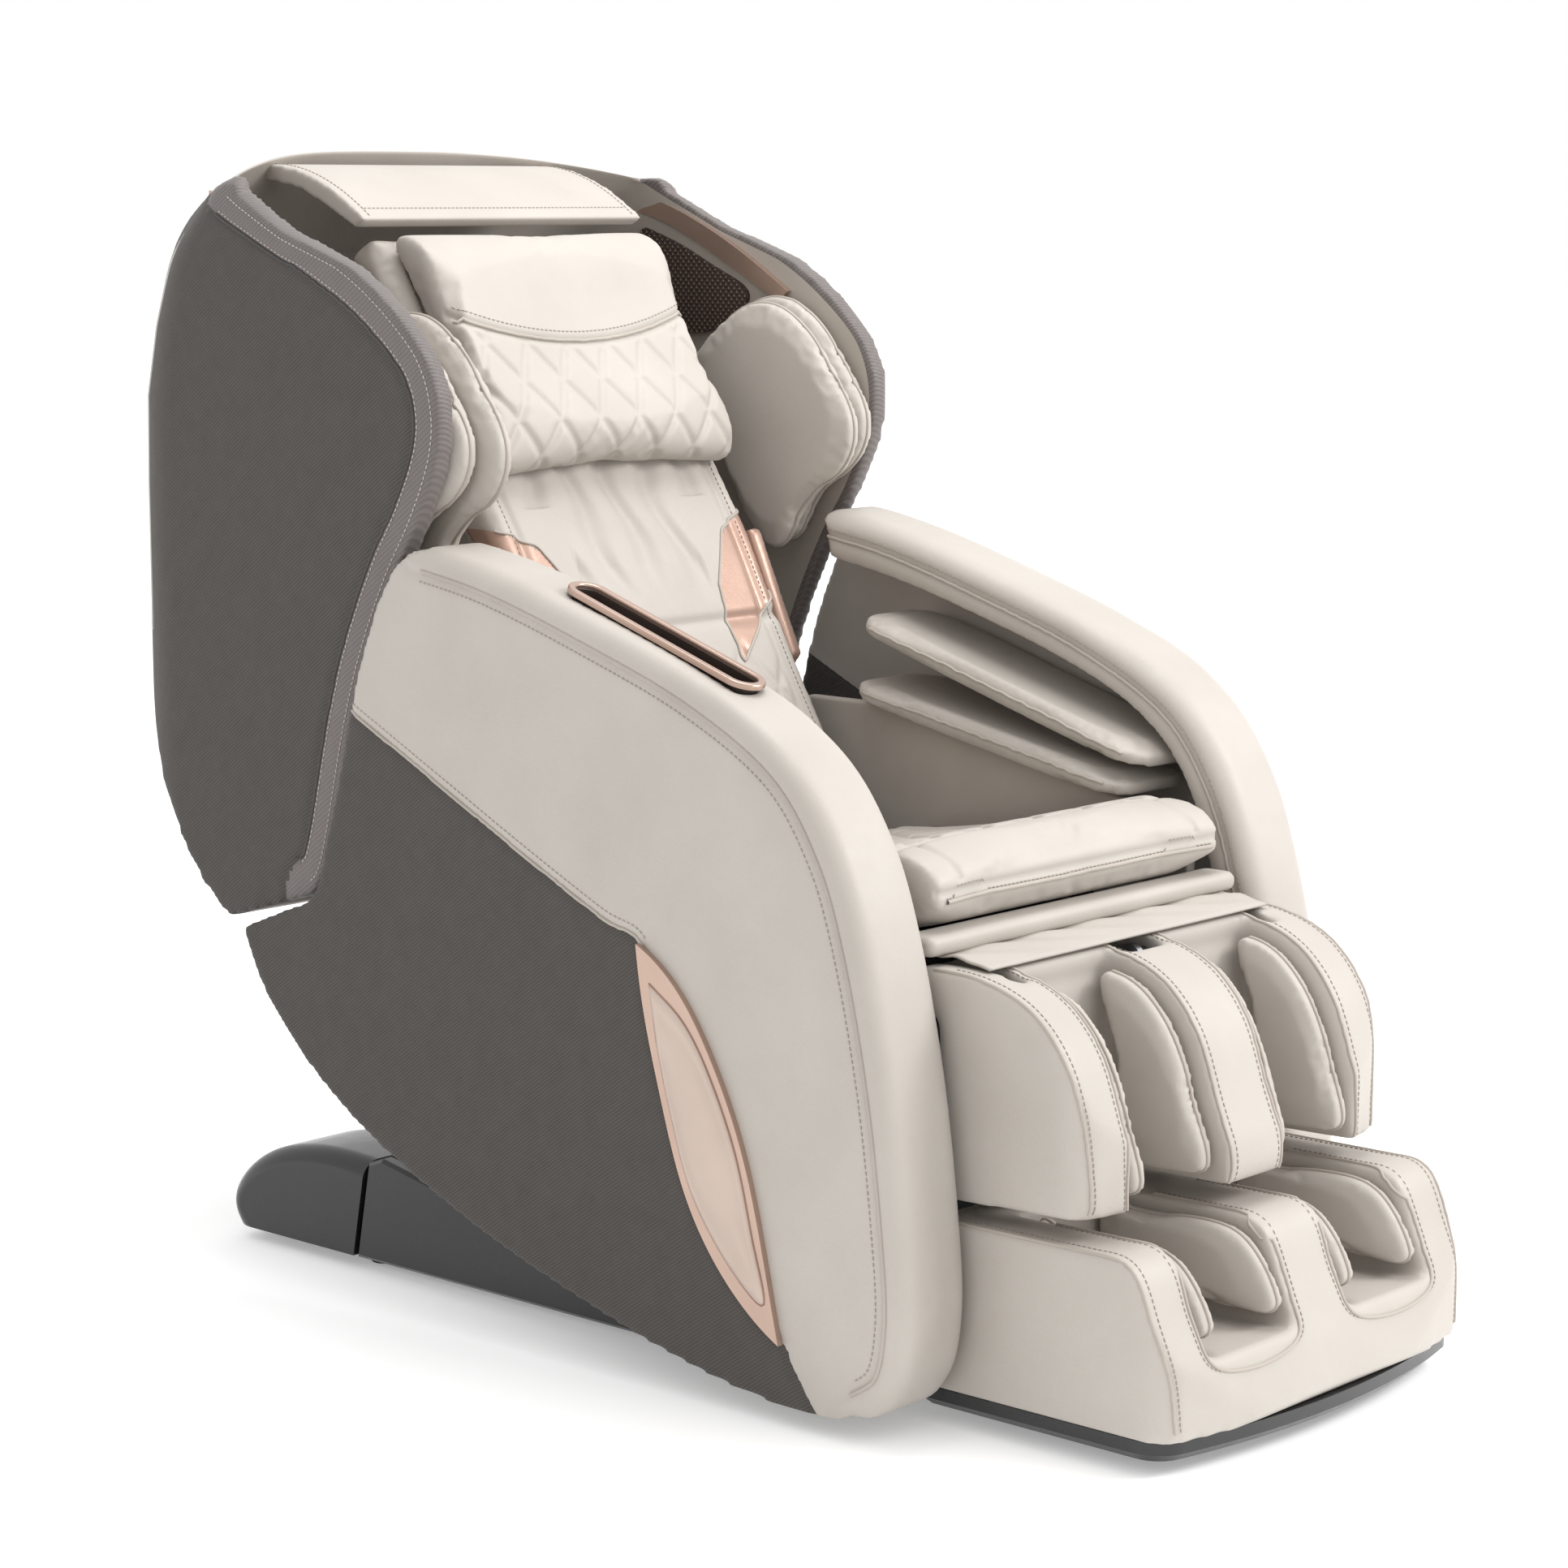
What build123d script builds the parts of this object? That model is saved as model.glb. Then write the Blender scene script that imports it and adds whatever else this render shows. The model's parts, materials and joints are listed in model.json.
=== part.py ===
"""Zero-gravity massage chair: a base, a tilting seat frame with hollow arms, a reclining hooded backrest
with its massage carriage, and a swinging legrest with a sliding footrest.

Frame: +Z up, the sitter faces -Y, origin under the middle of the whole chair on the floor. Millimetres.
Side outlines are (y, z) points. "Left" is -X and "right" is +X.
"""

import math
import os

from build123d import *

os.makedirs("parts", exist_ok=True)

# ---------------------------------------------------------------- driving dimensions
ORIGIN_SHIFT = -79.33  # design y to row y, so that the origin is under the middle of the chair
ARM_OUT = 380.0  # half width over the arms
ARM_SKIN = 8.0  # wall of the hollow arm panel
ARM_IN = 272.0  # inner face of the arm
HOOD_OUT = 366.0  # half width of the hood
HOOD_WALL = 24.0
SEAT_HALF = 245.0
LEG_HALF = 262.0  # half width of the legrest
WELL_IN, WELL_OUT = 48.0, 194.0  # a leg well runs between these |x|
PAD_THICK = 22.0  # air cushion pads
TILT_PIVOT = (50.0, 220.0)
RECLINE_PIVOT = (220.0, 425.0)
LEG_PIVOT = (-385.0, 440.0)
FIT = 0.05  # radial clearance of a running fit

written = []


def save(piece, name):
    """Names a finished piece, moves it to the row frame and writes its STEP file."""
    part = piece.part if isinstance(piece, BuildPart) else piece
    placed = part.moved(Location((0, ORIGIN_SHIFT, 0)))
    placed.label = name
    export_step(placed, f"parts/{name}.step")
    written.append(name)


def with_twin(piece):
    """A right-hand piece and its mirror image as one group."""
    with BuildPart() as both:
        add(piece.part)
        mirror(piece.part, about=Plane.YZ)
    return both


def save_pair(piece, name):
    """Writes a right-hand piece and its mirror image as two nodes."""
    with BuildPart() as twin:
        mirror(piece.part, about=Plane.YZ)
    save(piece, name + "_right")
    save(twin, name + "_left")


def slab(outline, x0, thick, edge=0.0):
    """A plate with a closed (y, z) outline, from x0 to x0 + thick; its rims are rounded by edge."""
    with BuildPart() as plate:
        with BuildSketch(Plane.YZ.offset(x0)):
            with BuildLine():
                Spline(outline, periodic=True)
            make_face()
        extrude(amount=thick)
        if edge:
            rims = plate.edges().filter_by(GeomType.BSPLINE)
            fillet(rims, radius=edge)
    return plate


def block(x0, x1, y0, y1, z0, z1, edge=0.0):
    """A box between corner values, with its edges rounded by edge."""
    with BuildPart() as made:
        with Locations(((x0 + x1) / 2, (y0 + y1) / 2, (z0 + z1) / 2)):
            Box(x1 - x0, y1 - y0, z1 - z0)
        if edge:
            fillet(made.edges(), radius=edge)
    return made


def along(origin, direction):
    """A plane at a (x, y, z) point, whose normal is a (y, z) direction in the side view."""
    return Plane(origin=origin, x_dir=(1, 0, 0), z_dir=(0, direction[0], direction[1]))


# ---------------------------------------------------------------- base
RAIL_X, RAIL = 235.0, 40.0
FOOT_HIGH = 12.0
RAIL_TOP = FOOT_HIGH + RAIL
PIN_R = 10.0
CHEEK_IN, CHEEK = 190.0, 12.0  # base cheek plates run from CHEEK_IN to CHEEK_IN + CHEEK
FRAME_PLATE_IN, FRAME_PLATE = 210.0, 8.0  # side plates of the seat frame, just outside the cheeks


def make_base():
    """Welded steel base: rails, crossbars and cheek plates for the tilt shaft; rubber feet."""
    cheek_foot = 110.0
    with BuildPart() as cheek:
        with BuildSketch(Plane.YZ.offset(CHEEK_IN)):
            with BuildLine():
                Polyline(
                    (TILT_PIVOT[0] - cheek_foot, FOOT_HIGH + 4),
                    (TILT_PIVOT[0] + cheek_foot, FOOT_HIGH + 4),
                    (TILT_PIVOT[0] + 28, TILT_PIVOT[1] + 26),
                    (TILT_PIVOT[0] - 28, TILT_PIVOT[1] + 26),
                    close=True,
                )
            make_face()
            with Locations(TILT_PIVOT):
                Circle(PIN_R + FIT, mode=Mode.SUBTRACT)
        extrude(amount=RAIL_X - RAIL / 2 - CHEEK_IN + 2, dir=(1, 0, 0))
        above_rails = RAIL_TOP + 10
        with Locations((CHEEK_IN + CHEEK + 20, TILT_PIVOT[0], above_rails + 150)):
            Box(40, 400, 300, mode=Mode.SUBTRACT)
    with BuildPart() as frame:
        for side in (-1, 1):
            with Locations((side * RAIL_X, 180, FOOT_HIGH + RAIL / 2)):
                Box(RAIL, 760, RAIL)
        for y in (-150, 60, 520):
            with Locations((0, y, FOOT_HIGH + RAIL / 2)):
                Box(2 * RAIL_X - RAIL, 34, 30)
        add(with_twin(cheek).part)
    save(frame, "base_frame")

    with BuildPart() as feet:
        for side in (-1, 1):
            for y in (-160, 500):
                with Locations((side * RAIL_X, y, FOOT_HIGH / 2)):
                    Cylinder(17, FOOT_HIGH)
    save(feet, "rubber_feet")


POD_IN, POD_OUT = 175.0, 286.0


def make_base_covers():
    """Black mouldings over the base: a rounded rear pod and a long skirt on each side."""
    with BuildPart() as pod:
        with BuildSketch(Plane.YZ.offset(POD_IN)):
            with BuildLine():
                Polyline((478, 131), (500, 16), (712, 16))
                Spline((712, 16), (722, 48), (690, 92), (620, 124), (540, 134), (478, 131))
            make_face()
        extrude(amount=POD_OUT - POD_IN)
        fillet(pod.edges().filter_by(GeomType.BSPLINE).sort_by(Axis.X)[-1], radius=22)
        pocket = Plane.YZ.offset(POD_IN)
        with BuildSketch(pocket):
            with Locations((WHEEL_Y, WHEEL_Z)):
                Circle(WHEEL_R + 5)
            with Locations((WHEEL_Y, WHEEL_Z / 2)):
                Rectangle(2 * WHEEL_R + 10, WHEEL_Z)
        extrude(amount=WHEEL_WIDE + 14, mode=Mode.SUBTRACT)
        rail_room = RAIL_X + RAIL / 2 + 1
        with Locations(((POD_IN + rail_room) / 2, 515, 30)):
            Box(rail_room - POD_IN, 100, 56, mode=Mode.SUBTRACT)
    save_pair(pod, "base_rear_pod")

    with BuildPart() as skirt:
        with BuildSketch(Plane.YZ.offset(POD_OUT - 18)):
            with BuildLine():
                Polyline((-205, 14), (498, 14), (476, 129), (452, 138), (300, 110), (-190, 96), close=True)
            make_face()
        extrude(amount=16)
        chamfer(skirt.faces().sort_by(Axis.X)[-1].edges(), length=4)
    save_pair(skirt, "base_side_skirt")


WHEEL_R, WHEEL_WIDE = 28.0, 22.0
WHEEL_Y, WHEEL_Z = 655.0, 32.0
WHEEL_X = POD_IN + 16.0
AXLE_R = 5.0
WHEEL_FIT = 0.09  # radial running clearance of the wheels on their axle


def make_wheels():
    """Transport wheels, which touch the floor only when the chair is tipped back, and their axle."""
    with BuildPart() as wheel:
        with Locations(Location((WHEEL_X, WHEEL_Y, WHEEL_Z), (0, 90, 0))):
            Cylinder(WHEEL_R, WHEEL_WIDE)
        fillet(wheel.edges(), radius=4)
        with Locations(Location((WHEEL_X, WHEEL_Y, WHEEL_Z), (0, 90, 0))):
            Cylinder(AXLE_R + WHEEL_FIT, WHEEL_WIDE, mode=Mode.SUBTRACT)
    save_pair(wheel, "transport_wheel")

    with BuildPart() as axle:
        with Locations(Location((0, WHEEL_Y, WHEEL_Z), (0, 90, 0))):
            Cylinder(AXLE_R, 2 * (WHEEL_X + WHEEL_WIDE / 2 + 6))
    save(axle, "wheel_axle")


def make_power_unit():
    """Control box on the base, with the mains inlet and the rocker switch in its rear face."""
    box_back, box_half, box_low, box_high = 500.0, 110.0, 56.0, 124.0
    rocker_x, rocker_z, rocker_wide, rocker_high = 60.0, 92.0, 20.0, 28.0
    inlet_x, inlet_wide, inlet_high = -40.0, 50.0, 28.0
    with BuildPart() as control_box:
        with Locations((0, (330 + box_back) / 2, (box_low + box_high) / 2)):
            Box(2 * box_half, box_back - 330, box_high - box_low)
        fillet(control_box.edges().filter_by(Axis.Z), radius=8)
        with Locations((rocker_x, box_back - 9, rocker_z)):
            Box(rocker_wide + 2, 18, rocker_high + 2, mode=Mode.SUBTRACT)
        with Locations((inlet_x, box_back - 10, rocker_z)):
            Box(inlet_wide, 20, inlet_high, mode=Mode.SUBTRACT)
    save(control_box, "control_box")

    with BuildPart() as inlet:
        with Locations((inlet_x, box_back - 9, rocker_z)):
            Box(inlet_wide - 1, 22, inlet_high - 1)
        with Locations((inlet_x, box_back - 1, rocker_z)):
            Box(24, 14, 17, mode=Mode.SUBTRACT)
        pin_wide, pin_thick = 2.0, 4.0
        for dx, dz in ((-7, 0), (0, 3), (7, 0)):
            with Locations((inlet_x + dx, box_back - 3, rocker_z + dz)):
                Box(pin_wide, 10, pin_thick)
    save(inlet, "power_inlet")

    rocker_deep = 6.0
    with BuildPart() as rocker:
        with BuildSketch(Plane.YZ.offset(rocker_x - rocker_wide / 2 + 0.5)):
            with BuildLine():
                Polyline(
                    (box_back - rocker_deep, rocker_z - rocker_high / 2 + 1.5),
                    (box_back + 3, rocker_z - rocker_high / 2 + 1.5),
                    (box_back + 0.5, rocker_z),
                    (box_back + 3, rocker_z + rocker_high / 2 - 1.5),
                    (box_back - rocker_deep, rocker_z + rocker_high / 2 - 1.5),
                    close=True,
                )
            make_face()
        extrude(amount=rocker_wide - 1)
    save(rocker, "power_rocker")


# ---------------------------------------------------------------- actuators
TUBE_R, ROD_R, EYE_THICK = 20.0, 9.0, 12.0
TILT_ACT_X = -80.0
TILT_ACT_ROOT, TILT_ACT_EYE = (320.0, 110.0), (50.0, 110.0)
RECLINE_ACT_ROOT, RECLINE_ACT_EYE = (-60.0, 302.0), (256.0, 302.0)
LEG_ACT_ROOT, LEG_ACT_EYE = (-90.0, 366.0), (-337.0, 366.0)


def make_actuator(name, start, end, tube_long, rod_start, x=0.0):
    """A linear actuator from start to end, (y, z) points: a bored tube with its gearmotor, and a rod."""
    reach = math.dist(start, end)
    way = ((end[0] - start[0]) / reach, (end[1] - start[1]) / reach)
    base_plane = along((x, *start), way)
    with BuildPart() as tube:
        with BuildSketch(base_plane):
            Circle(TUBE_R)
        extrude(amount=tube_long)
        with BuildSketch(base_plane.offset(10)):
            Circle(ROD_R + 0.5)
        extrude(amount=tube_long, mode=Mode.SUBTRACT)
        with BuildSketch(base_plane.offset(8)):
            with Locations((46, 0)):
                Rectangle(54, 40)
        extrude(amount=52)
    save(tube, name + "_actuator")

    with BuildPart() as rod:
        with BuildSketch(base_plane.offset(rod_start)):
            Circle(ROD_R)
        extrude(amount=reach - rod_start - 14)
        with BuildSketch(Plane.YZ.offset(x - EYE_THICK / 2)):
            with Locations(end):
                Circle(19)
                Circle(8, mode=Mode.SUBTRACT)
        extrude(amount=EYE_THICK)
    save(rod, name + "_rod")


def make_shaft(name, pivot, eye, half_long, x=0.0):
    """A hinge shaft with a fork on it, whose ears reach to the eye of an actuator's rod."""
    ear, room = 8.0, 4.0
    with BuildPart() as shaft:
        with Locations(Location((0, *pivot), (0, 90, 0))):
            Cylinder(PIN_R, 2 * half_long)
        for first in (x + EYE_THICK / 2 + room, x - EYE_THICK / 2 - room - ear):
            with BuildSketch(Plane.YZ.offset(first)):
                with Locations(pivot, eye):
                    Circle(17)
                reach = math.dist(pivot, eye)
                lean = math.degrees(math.atan2(eye[1] - pivot[1], eye[0] - pivot[0]))
                with Locations(Location(((pivot[0] + eye[0]) / 2, (pivot[1] + eye[1]) / 2), lean)):
                    Rectangle(reach, 26)
                with Locations(eye):
                    Circle(8, mode=Mode.SUBTRACT)
            extrude(amount=ear)
    save(shaft, name)


# ---------------------------------------------------------------- seat frame, seat and arms
def make_seat_frame():
    """Tilting steel frame: side plates, crossbars that reach the arm panels, and actuator brackets."""
    with BuildPart() as frame:
        for first in (FRAME_PLATE_IN, -FRAME_PLATE_IN - FRAME_PLATE):
            with BuildSketch(Plane.YZ.offset(first)):
                with BuildLine():
                    Polyline(
                        (TILT_PIVOT[0] - 30, TILT_PIVOT[1] - 28),
                        (TILT_PIVOT[0] + 45, TILT_PIVOT[1] - 28),
                        (RECLINE_PIVOT[0] + 26, RECLINE_PIVOT[1] - 24),
                        (RECLINE_PIVOT[0] + 26, RECLINE_PIVOT[1] + 22),
                        (-300, 446),
                        (LEG_PIVOT[0] - 20, LEG_PIVOT[1] + 14),
                        (LEG_PIVOT[0] - 20, LEG_PIVOT[1] - 18),
                        (-280, 385),
                        close=True,
                    )
                make_face()
            extrude(amount=FRAME_PLATE)
        bar_half = ARM_OUT - ARM_SKIN
        for y, z in ((-262, 415), (-40, 415), (150, 415)):
            with Locations((0, y, z)):
                Box(2 * bar_half, 34, 30)
        with Locations((0, -66, 350)):
            Box(50, 12, 130)
        with Locations((0, -84, 384)):
            Box(50, 12, 50)
        with Locations((0, -72, 404)):
            Box(50, 36, 8)
        for centre, hole in ((RECLINE_PIVOT, PIN_R + FIT), (LEG_PIVOT, PIN_R + FIT), (TILT_PIVOT, PIN_R)):
            with Locations(Location((0, *centre), (0, 90, 0))):
                Cylinder(hole, 500, mode=Mode.SUBTRACT)
    save(frame, "seat_frame")

    make_shaft("tilt_shaft", TILT_PIVOT, TILT_ACT_EYE, FRAME_PLATE_IN + FRAME_PLATE, TILT_ACT_X)

    with BuildPart() as pan:
        with BuildSketch(Plane.XY.offset(443)):
            with Locations((0, -60)):
                RectangleRounded(2 * FRAME_PLATE_IN - 12, 410, 30)
        extrude(amount=9)
    save(pan, "seat_pan")


SEAT_TOP = [(125, 492), (-10, 506), (-130, 532), (-250, 566), (-300, 570), (-338, 548)]


def make_seat():
    """Seat cushion, front bolster and the two inner side walls."""
    with BuildPart() as cushion:
        with BuildSketch(Plane.YZ.offset(-SEAT_HALF)):
            with BuildLine():
                Spline(SEAT_TOP)
                Polyline(SEAT_TOP[-1], (-340, 522), (-300, 504), (-130, 472), (125, 456), SEAT_TOP[0])
            make_face()
        extrude(amount=2 * SEAT_HALF)
    save(cushion, "seat_cushion")

    save(block(-262, 262, -346, -300, 474, 496, edge=9), "front_bolster")

    with BuildPart() as wall:
        with BuildSketch(Plane.YZ.offset(ARM_IN - 16)):
            with BuildLine():
                Polyline(
                    (-282, 468), (200, 468), (262, 560), (288, 636), (147, 636), (-282, 540),
                    close=True,
                )
            make_face()
        extrude(amount=16)
        fillet(wall.edges().filter_by(Axis.X), radius=6)
    save_pair(wall, "arm_inner_wall")


ARM_CREST = [
    (275, 858), (165, 838), (25, 798), (-130, 745), (-250, 680), (-316, 598),
    (-354, 500), (-386, 360), (-405, 220), (-410, 130), (-394, 62), (-345, 24),
]
ARM_BELLY = [
    (-345, 24), (-242, 21), (-101, 41), (11, 68), (183, 120), (285, 160), (383, 208), (484, 280),
    (545, 348), (573, 408),
]
ARM_BACK = [(484, 442), (450, 462), (434, 505), (407, 590), (378, 694), (345, 778), (316, 826), (275, 858)]
CAP_INSIDE = [
    (262, 800), (165, 782), (20, 742), (-130, 690), (-222, 635), (-268, 575), (-300, 480), (-328, 360),
    (-344, 220), (-346, 140), (-326, 84),
]
POCKET_FROM, POCKET_TO = (88.0, 817.0), (-160.0, 734.0)
POCKET_X, POCKET_WIDE, POCKET_DEEP = 322.0, 30.0, 46.0


def pocket_plane():
    """The plane of the arm pocket's mouth: its x runs across the chair, its y along the pocket."""
    span = (POCKET_TO[0] - POCKET_FROM[0], POCKET_TO[1] - POCKET_FROM[1])
    middle = ((POCKET_FROM[0] + POCKET_TO[0]) / 2, (POCKET_FROM[1] + POCKET_TO[1]) / 2)
    up = (span[1], -span[0])
    size = math.hypot(*up)
    return along((-POCKET_X, *middle), (up[0] / size, up[1] / size))


def make_arms():
    """Hollow arms: an outer skin and a padded cap over the top and front; the left cap has a pocket."""
    with BuildPart() as skin:
        with BuildSketch(Plane.YZ.offset(ARM_OUT - ARM_SKIN)):
            with BuildLine():
                Spline(ARM_CREST)
                Spline(ARM_BELLY)
                Line(ARM_BELLY[-1], ARM_BACK[0])
                Spline(ARM_BACK)
            make_face()
        extrude(amount=ARM_SKIN)
    save_pair(skin, "arm_panel")

    with BuildPart() as cap:
        with BuildSketch(Plane.YZ.offset(ARM_IN)):
            with BuildLine():
                Spline(ARM_CREST)
                Line(ARM_CREST[-1], CAP_INSIDE[-1])
                Spline(CAP_INSIDE)
                Line(CAP_INSIDE[0], ARM_CREST[0])
            make_face()
        extrude(amount=ARM_OUT - ARM_SKIN - ARM_IN)
        crest_edge = cap.edges().filter_by(GeomType.BSPLINE).sort_by(SortBy.LENGTH)[-2:]
        fillet(crest_edge.sort_by(Axis.X)[0], radius=18)
    save(cap, "arm_cap_right")

    mouth = pocket_plane()
    long = math.dist(POCKET_FROM, POCKET_TO)
    with BuildPart() as cap_left:
        mirror(cap.part, about=Plane.YZ)
        with BuildSketch(mouth.offset(60)):
            SlotOverall(long, POCKET_WIDE + 5, rotation=90)
        extrude(amount=-60 - POCKET_DEEP - 30, mode=Mode.SUBTRACT)
    save(cap_left, "arm_cap_left")

    liner_wall = 2.0
    with BuildPart() as liner:
        with BuildSketch(mouth.offset(3.5)):
            SlotOverall(long - 1, POCKET_WIDE + 4, rotation=90)
        extrude(amount=-POCKET_DEEP - 3.5)
        with BuildSketch(mouth.offset(3.5)):
            SlotOverall(long - 1 - 2 * liner_wall, POCKET_WIDE + 4 - 2 * liner_wall, rotation=90)
        extrude(amount=-POCKET_DEEP - 3.5 + liner_wall, mode=Mode.SUBTRACT)
    save(liner, "pocket_liner")

    with BuildPart() as bezel:
        with BuildSketch(mouth.offset(4)):
            SlotOverall(long + 14, POCKET_WIDE + 18, rotation=90)
            SlotOverall(long - 3, POCKET_WIDE, rotation=90, mode=Mode.SUBTRACT)
        extrude(amount=6)
        outward = Axis(mouth.origin, mouth.z_dir)
        fillet(bezel.faces().sort_by(outward)[-1].edges(), radius=2.5)
    save(bezel, "pocket_bezel")


UPPER_PAD = ((185, 742), (-235, 612))
LOWER_PAD = ((190, 664), (-215, 580))
ARM_PAD_IN, ARM_PAD_OUT, ARM_PAD_THICK = 218.0, 368.0, 16.0


def make_arm_air_pads():
    """Upper and lower air pads in each arm; the forearm lies between them."""
    for name, ends, inner in (("upper", UPPER_PAD, ARM_PAD_IN + 8), ("lower", LOWER_PAD, ARM_PAD_IN)):
        rear, front = ends
        span = (front[0] - rear[0], front[1] - rear[1])
        size = math.hypot(*span)
        down = (-span[1] / size, span[0] / size)
        middle = ((rear[0] + front[0]) / 2, (rear[1] + front[1]) / 2)
        centre_x = (inner + ARM_PAD_OUT) / 2
        with BuildPart() as pad:
            with BuildSketch(along((centre_x, *middle), down)):
                RectangleRounded(ARM_PAD_OUT - inner, size, 45)
            extrude(amount=ARM_PAD_THICK)
        save_pair(pad, f"arm_air_pad_{name}")


LEAF_FRONT = [(-56, 471), (-114, 430), (-158, 370), (-203, 276), (-232, 172), (-252, 86)]
LEAF_REAR = [(-252, 86), (-190, 130), (-128, 212), (-90, 317), (-68, 398), (-56, 471)]


def make_leaf_trim():
    """Leaf-shaped trim on each arm panel."""
    with BuildPart() as leaf:
        with BuildSketch(Plane.YZ.offset(ARM_OUT)):
            with BuildLine():
                Spline(LEAF_FRONT)
                Spline(LEAF_REAR)
            make_face()
        extrude(amount=7)
    save_pair(leaf, "arm_leaf_trim")


# ---------------------------------------------------------------- backrest
HOOD_FRONT = [
    (471, 453), (440, 492), (398, 647), (369, 730), (328, 813), (288, 876), (258, 938), (249, 990),
    (262, 1043), (296, 1086), (371, 1142), (476, 1194), (560, 1232), (640, 1262),
]
HOOD_REAR = [
    (640, 1262), (700, 1283), (752, 1256), (792, 1180), (818, 1080), (826, 950), (812, 830), (786, 700),
    (742, 575), (690, 485), (640, 430), (612, 412),
]
HOOD_INSIDE = [
    (650, 500), (700, 600), (742, 715), (768, 835), (782, 950), (776, 1070), (757, 1160), (732, 1225),
    (700, 1300),
]


def hood_plan(half, back_side, back_middle, corner):
    """A plan with a bowed back and rounded rear corners, open-ended towards the front."""
    with BuildSketch(Plane.XY) as plan:
        with BuildLine():
            ThreePointArc((-half, back_side), (0, back_middle), (half, back_side))
            Polyline((half, back_side), (half, 100), (-half, 100), (-half, back_side))
        make_face()
        fillet(plan.vertices().group_by(Axis.Y)[-1], radius=corner)
    return plan.sketch


def make_hood():
    """The hood: a U in plan, open to the front and the top, with a rim of even thickness."""
    inner = HOOD_OUT - HOOD_WALL
    with BuildPart() as cavity:
        with BuildSketch(Plane.YZ.offset(-inner)):
            with BuildLine():
                Polyline(HOOD_INSIDE[-1], (100, 1300), (100, 300), (560, 300), (600, 440), HOOD_INSIDE[0])
                Spline(HOOD_INSIDE)
            make_face()
        extrude(amount=2 * inner)
        extrude(hood_plan(inner, 762, 798, 88), amount=1400, mode=Mode.INTERSECT)
    with BuildPart() as hood:
        with BuildSketch(Plane.YZ.offset(-HOOD_OUT)):
            with BuildLine():
                Spline(HOOD_FRONT)
                Spline(HOOD_REAR)
                Line(HOOD_REAR[-1], HOOD_FRONT[0])
            make_face()
        extrude(amount=2 * HOOD_OUT)
        extrude(hood_plan(HOOD_OUT, 792, 832, 112), amount=1400, mode=Mode.INTERSECT)
        add(cavity.part, mode=Mode.SUBTRACT)
    save(hood, "hood_shell")


BACK_LINE = [
    (136, 512), (210, 620), (277, 738), (328, 835), (382, 920), (430, 1000), (492, 1115), (532, 1182),
]
PAD_HALF = 208.0
PILLOW_HALF = 198.0
BACK_DEEP = 45.0
RAIL_START, RAIL_WAY = (306.0, 508.0), (0.489, 0.872)
RAIL_LONG = 640.0


def back_point(line_point, depth):
    """A point that lies depth behind a point of the back's front line, square to the back's lean."""
    return (line_point[0] + RAIL_WAY[1] * depth, line_point[1] - RAIL_WAY[0] * depth)


def make_back():
    """The back cushion, its covering flap and pillow, and the frame that carries them."""
    rear_line = [back_point(p, BACK_DEEP) for p in reversed(BACK_LINE)]
    with BuildPart() as cushion:
        with BuildSketch(Plane.YZ.offset(-PAD_HALF)):
            with BuildLine():
                Spline(BACK_LINE)
                Line(BACK_LINE[-1], rear_line[0])
                Spline(rear_line)
                Line(rear_line[-1], BACK_LINE[0])
            make_face()
        extrude(amount=2 * PAD_HALF)
    save(cushion, "back_cushion")

    with BuildPart() as flap:
        with BuildSketch(Plane.YZ.offset(-PAD_HALF - 16)):
            with BuildLine():
                Spline((520, 1200), (560, 1226), (620, 1252), (692, 1262))
                Polyline((692, 1262), (700, 1246), (630, 1234), (572, 1208), (536, 1190), (520, 1200))
            make_face()
        extrude(amount=2 * PAD_HALF + 32)
    save(flap, "head_flap")

    with BuildPart() as pillow:
        with BuildSketch(Plane.YZ.offset(-PILLOW_HALF)):
            with BuildLine():
                Spline(
                    (366, 912), (392, 958), (440, 1040), (500, 1146), (510, 1184), (484, 1184), (432, 1108),
                    (376, 1010), (340, 950), (346, 916),
                    periodic=True,
                )
            make_face()
        extrude(amount=2 * PILLOW_HALF)
    save(pillow, "head_pillow")


FRAME_X = 186.0
RAIL_X_BACK, RAIL_BACK_WIDE, RAIL_BACK_DEEP = 160.0, 18.0, 24.0
BAR_DEEP = 30.0


def make_back_frame():
    """Backrest frame: hinge plates on crossbars, guide rails, and the recline shaft with its fork."""
    with BuildPart() as frame:
        for first in (FRAME_X, -FRAME_X - 8):
            with BuildSketch(Plane.YZ.offset(first)):
                with BuildLine():
                    Polyline(
                        (RECLINE_PIVOT[0] - 22, RECLINE_PIVOT[1] - 20),
                        (RECLINE_PIVOT[0] + 26, RECLINE_PIVOT[1] - 20),
                        (374, 540), (376, 590), (330, 600), (200, 450),
                        close=True,
                    )
                make_face()
            extrude(amount=8)
        for distance, half in ((60.0, FRAME_X), (RAIL_LONG - 30, HOOD_OUT - HOOD_WALL)):
            point = (RAIL_START[0] + RAIL_WAY[0] * distance, RAIL_START[1] + RAIL_WAY[1] * distance)
            centre = back_point(point, (RAIL_BACK_DEEP + BAR_DEEP) / 2 + 0.5)
            with BuildSketch(along((0, *centre), RAIL_WAY)):
                Rectangle(2 * half, BAR_DEEP)
            extrude(amount=26)
        with Locations(Location((0, *RECLINE_PIVOT), (0, 90, 0))):
            Cylinder(PIN_R, 500, mode=Mode.SUBTRACT)
    save(frame, "back_frame")

    make_shaft("recline_shaft", RECLINE_PIVOT, RECLINE_ACT_EYE, FRAME_PLATE_IN + FRAME_PLATE)

    with BuildPart() as rails:
        for side in (-1, 1):
            with BuildSketch(along((side * RAIL_X_BACK, *RAIL_START), RAIL_WAY)):
                Rectangle(RAIL_BACK_WIDE, RAIL_BACK_DEEP)
            extrude(amount=RAIL_LONG)
    save(rails, "carriage_rails")


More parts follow.
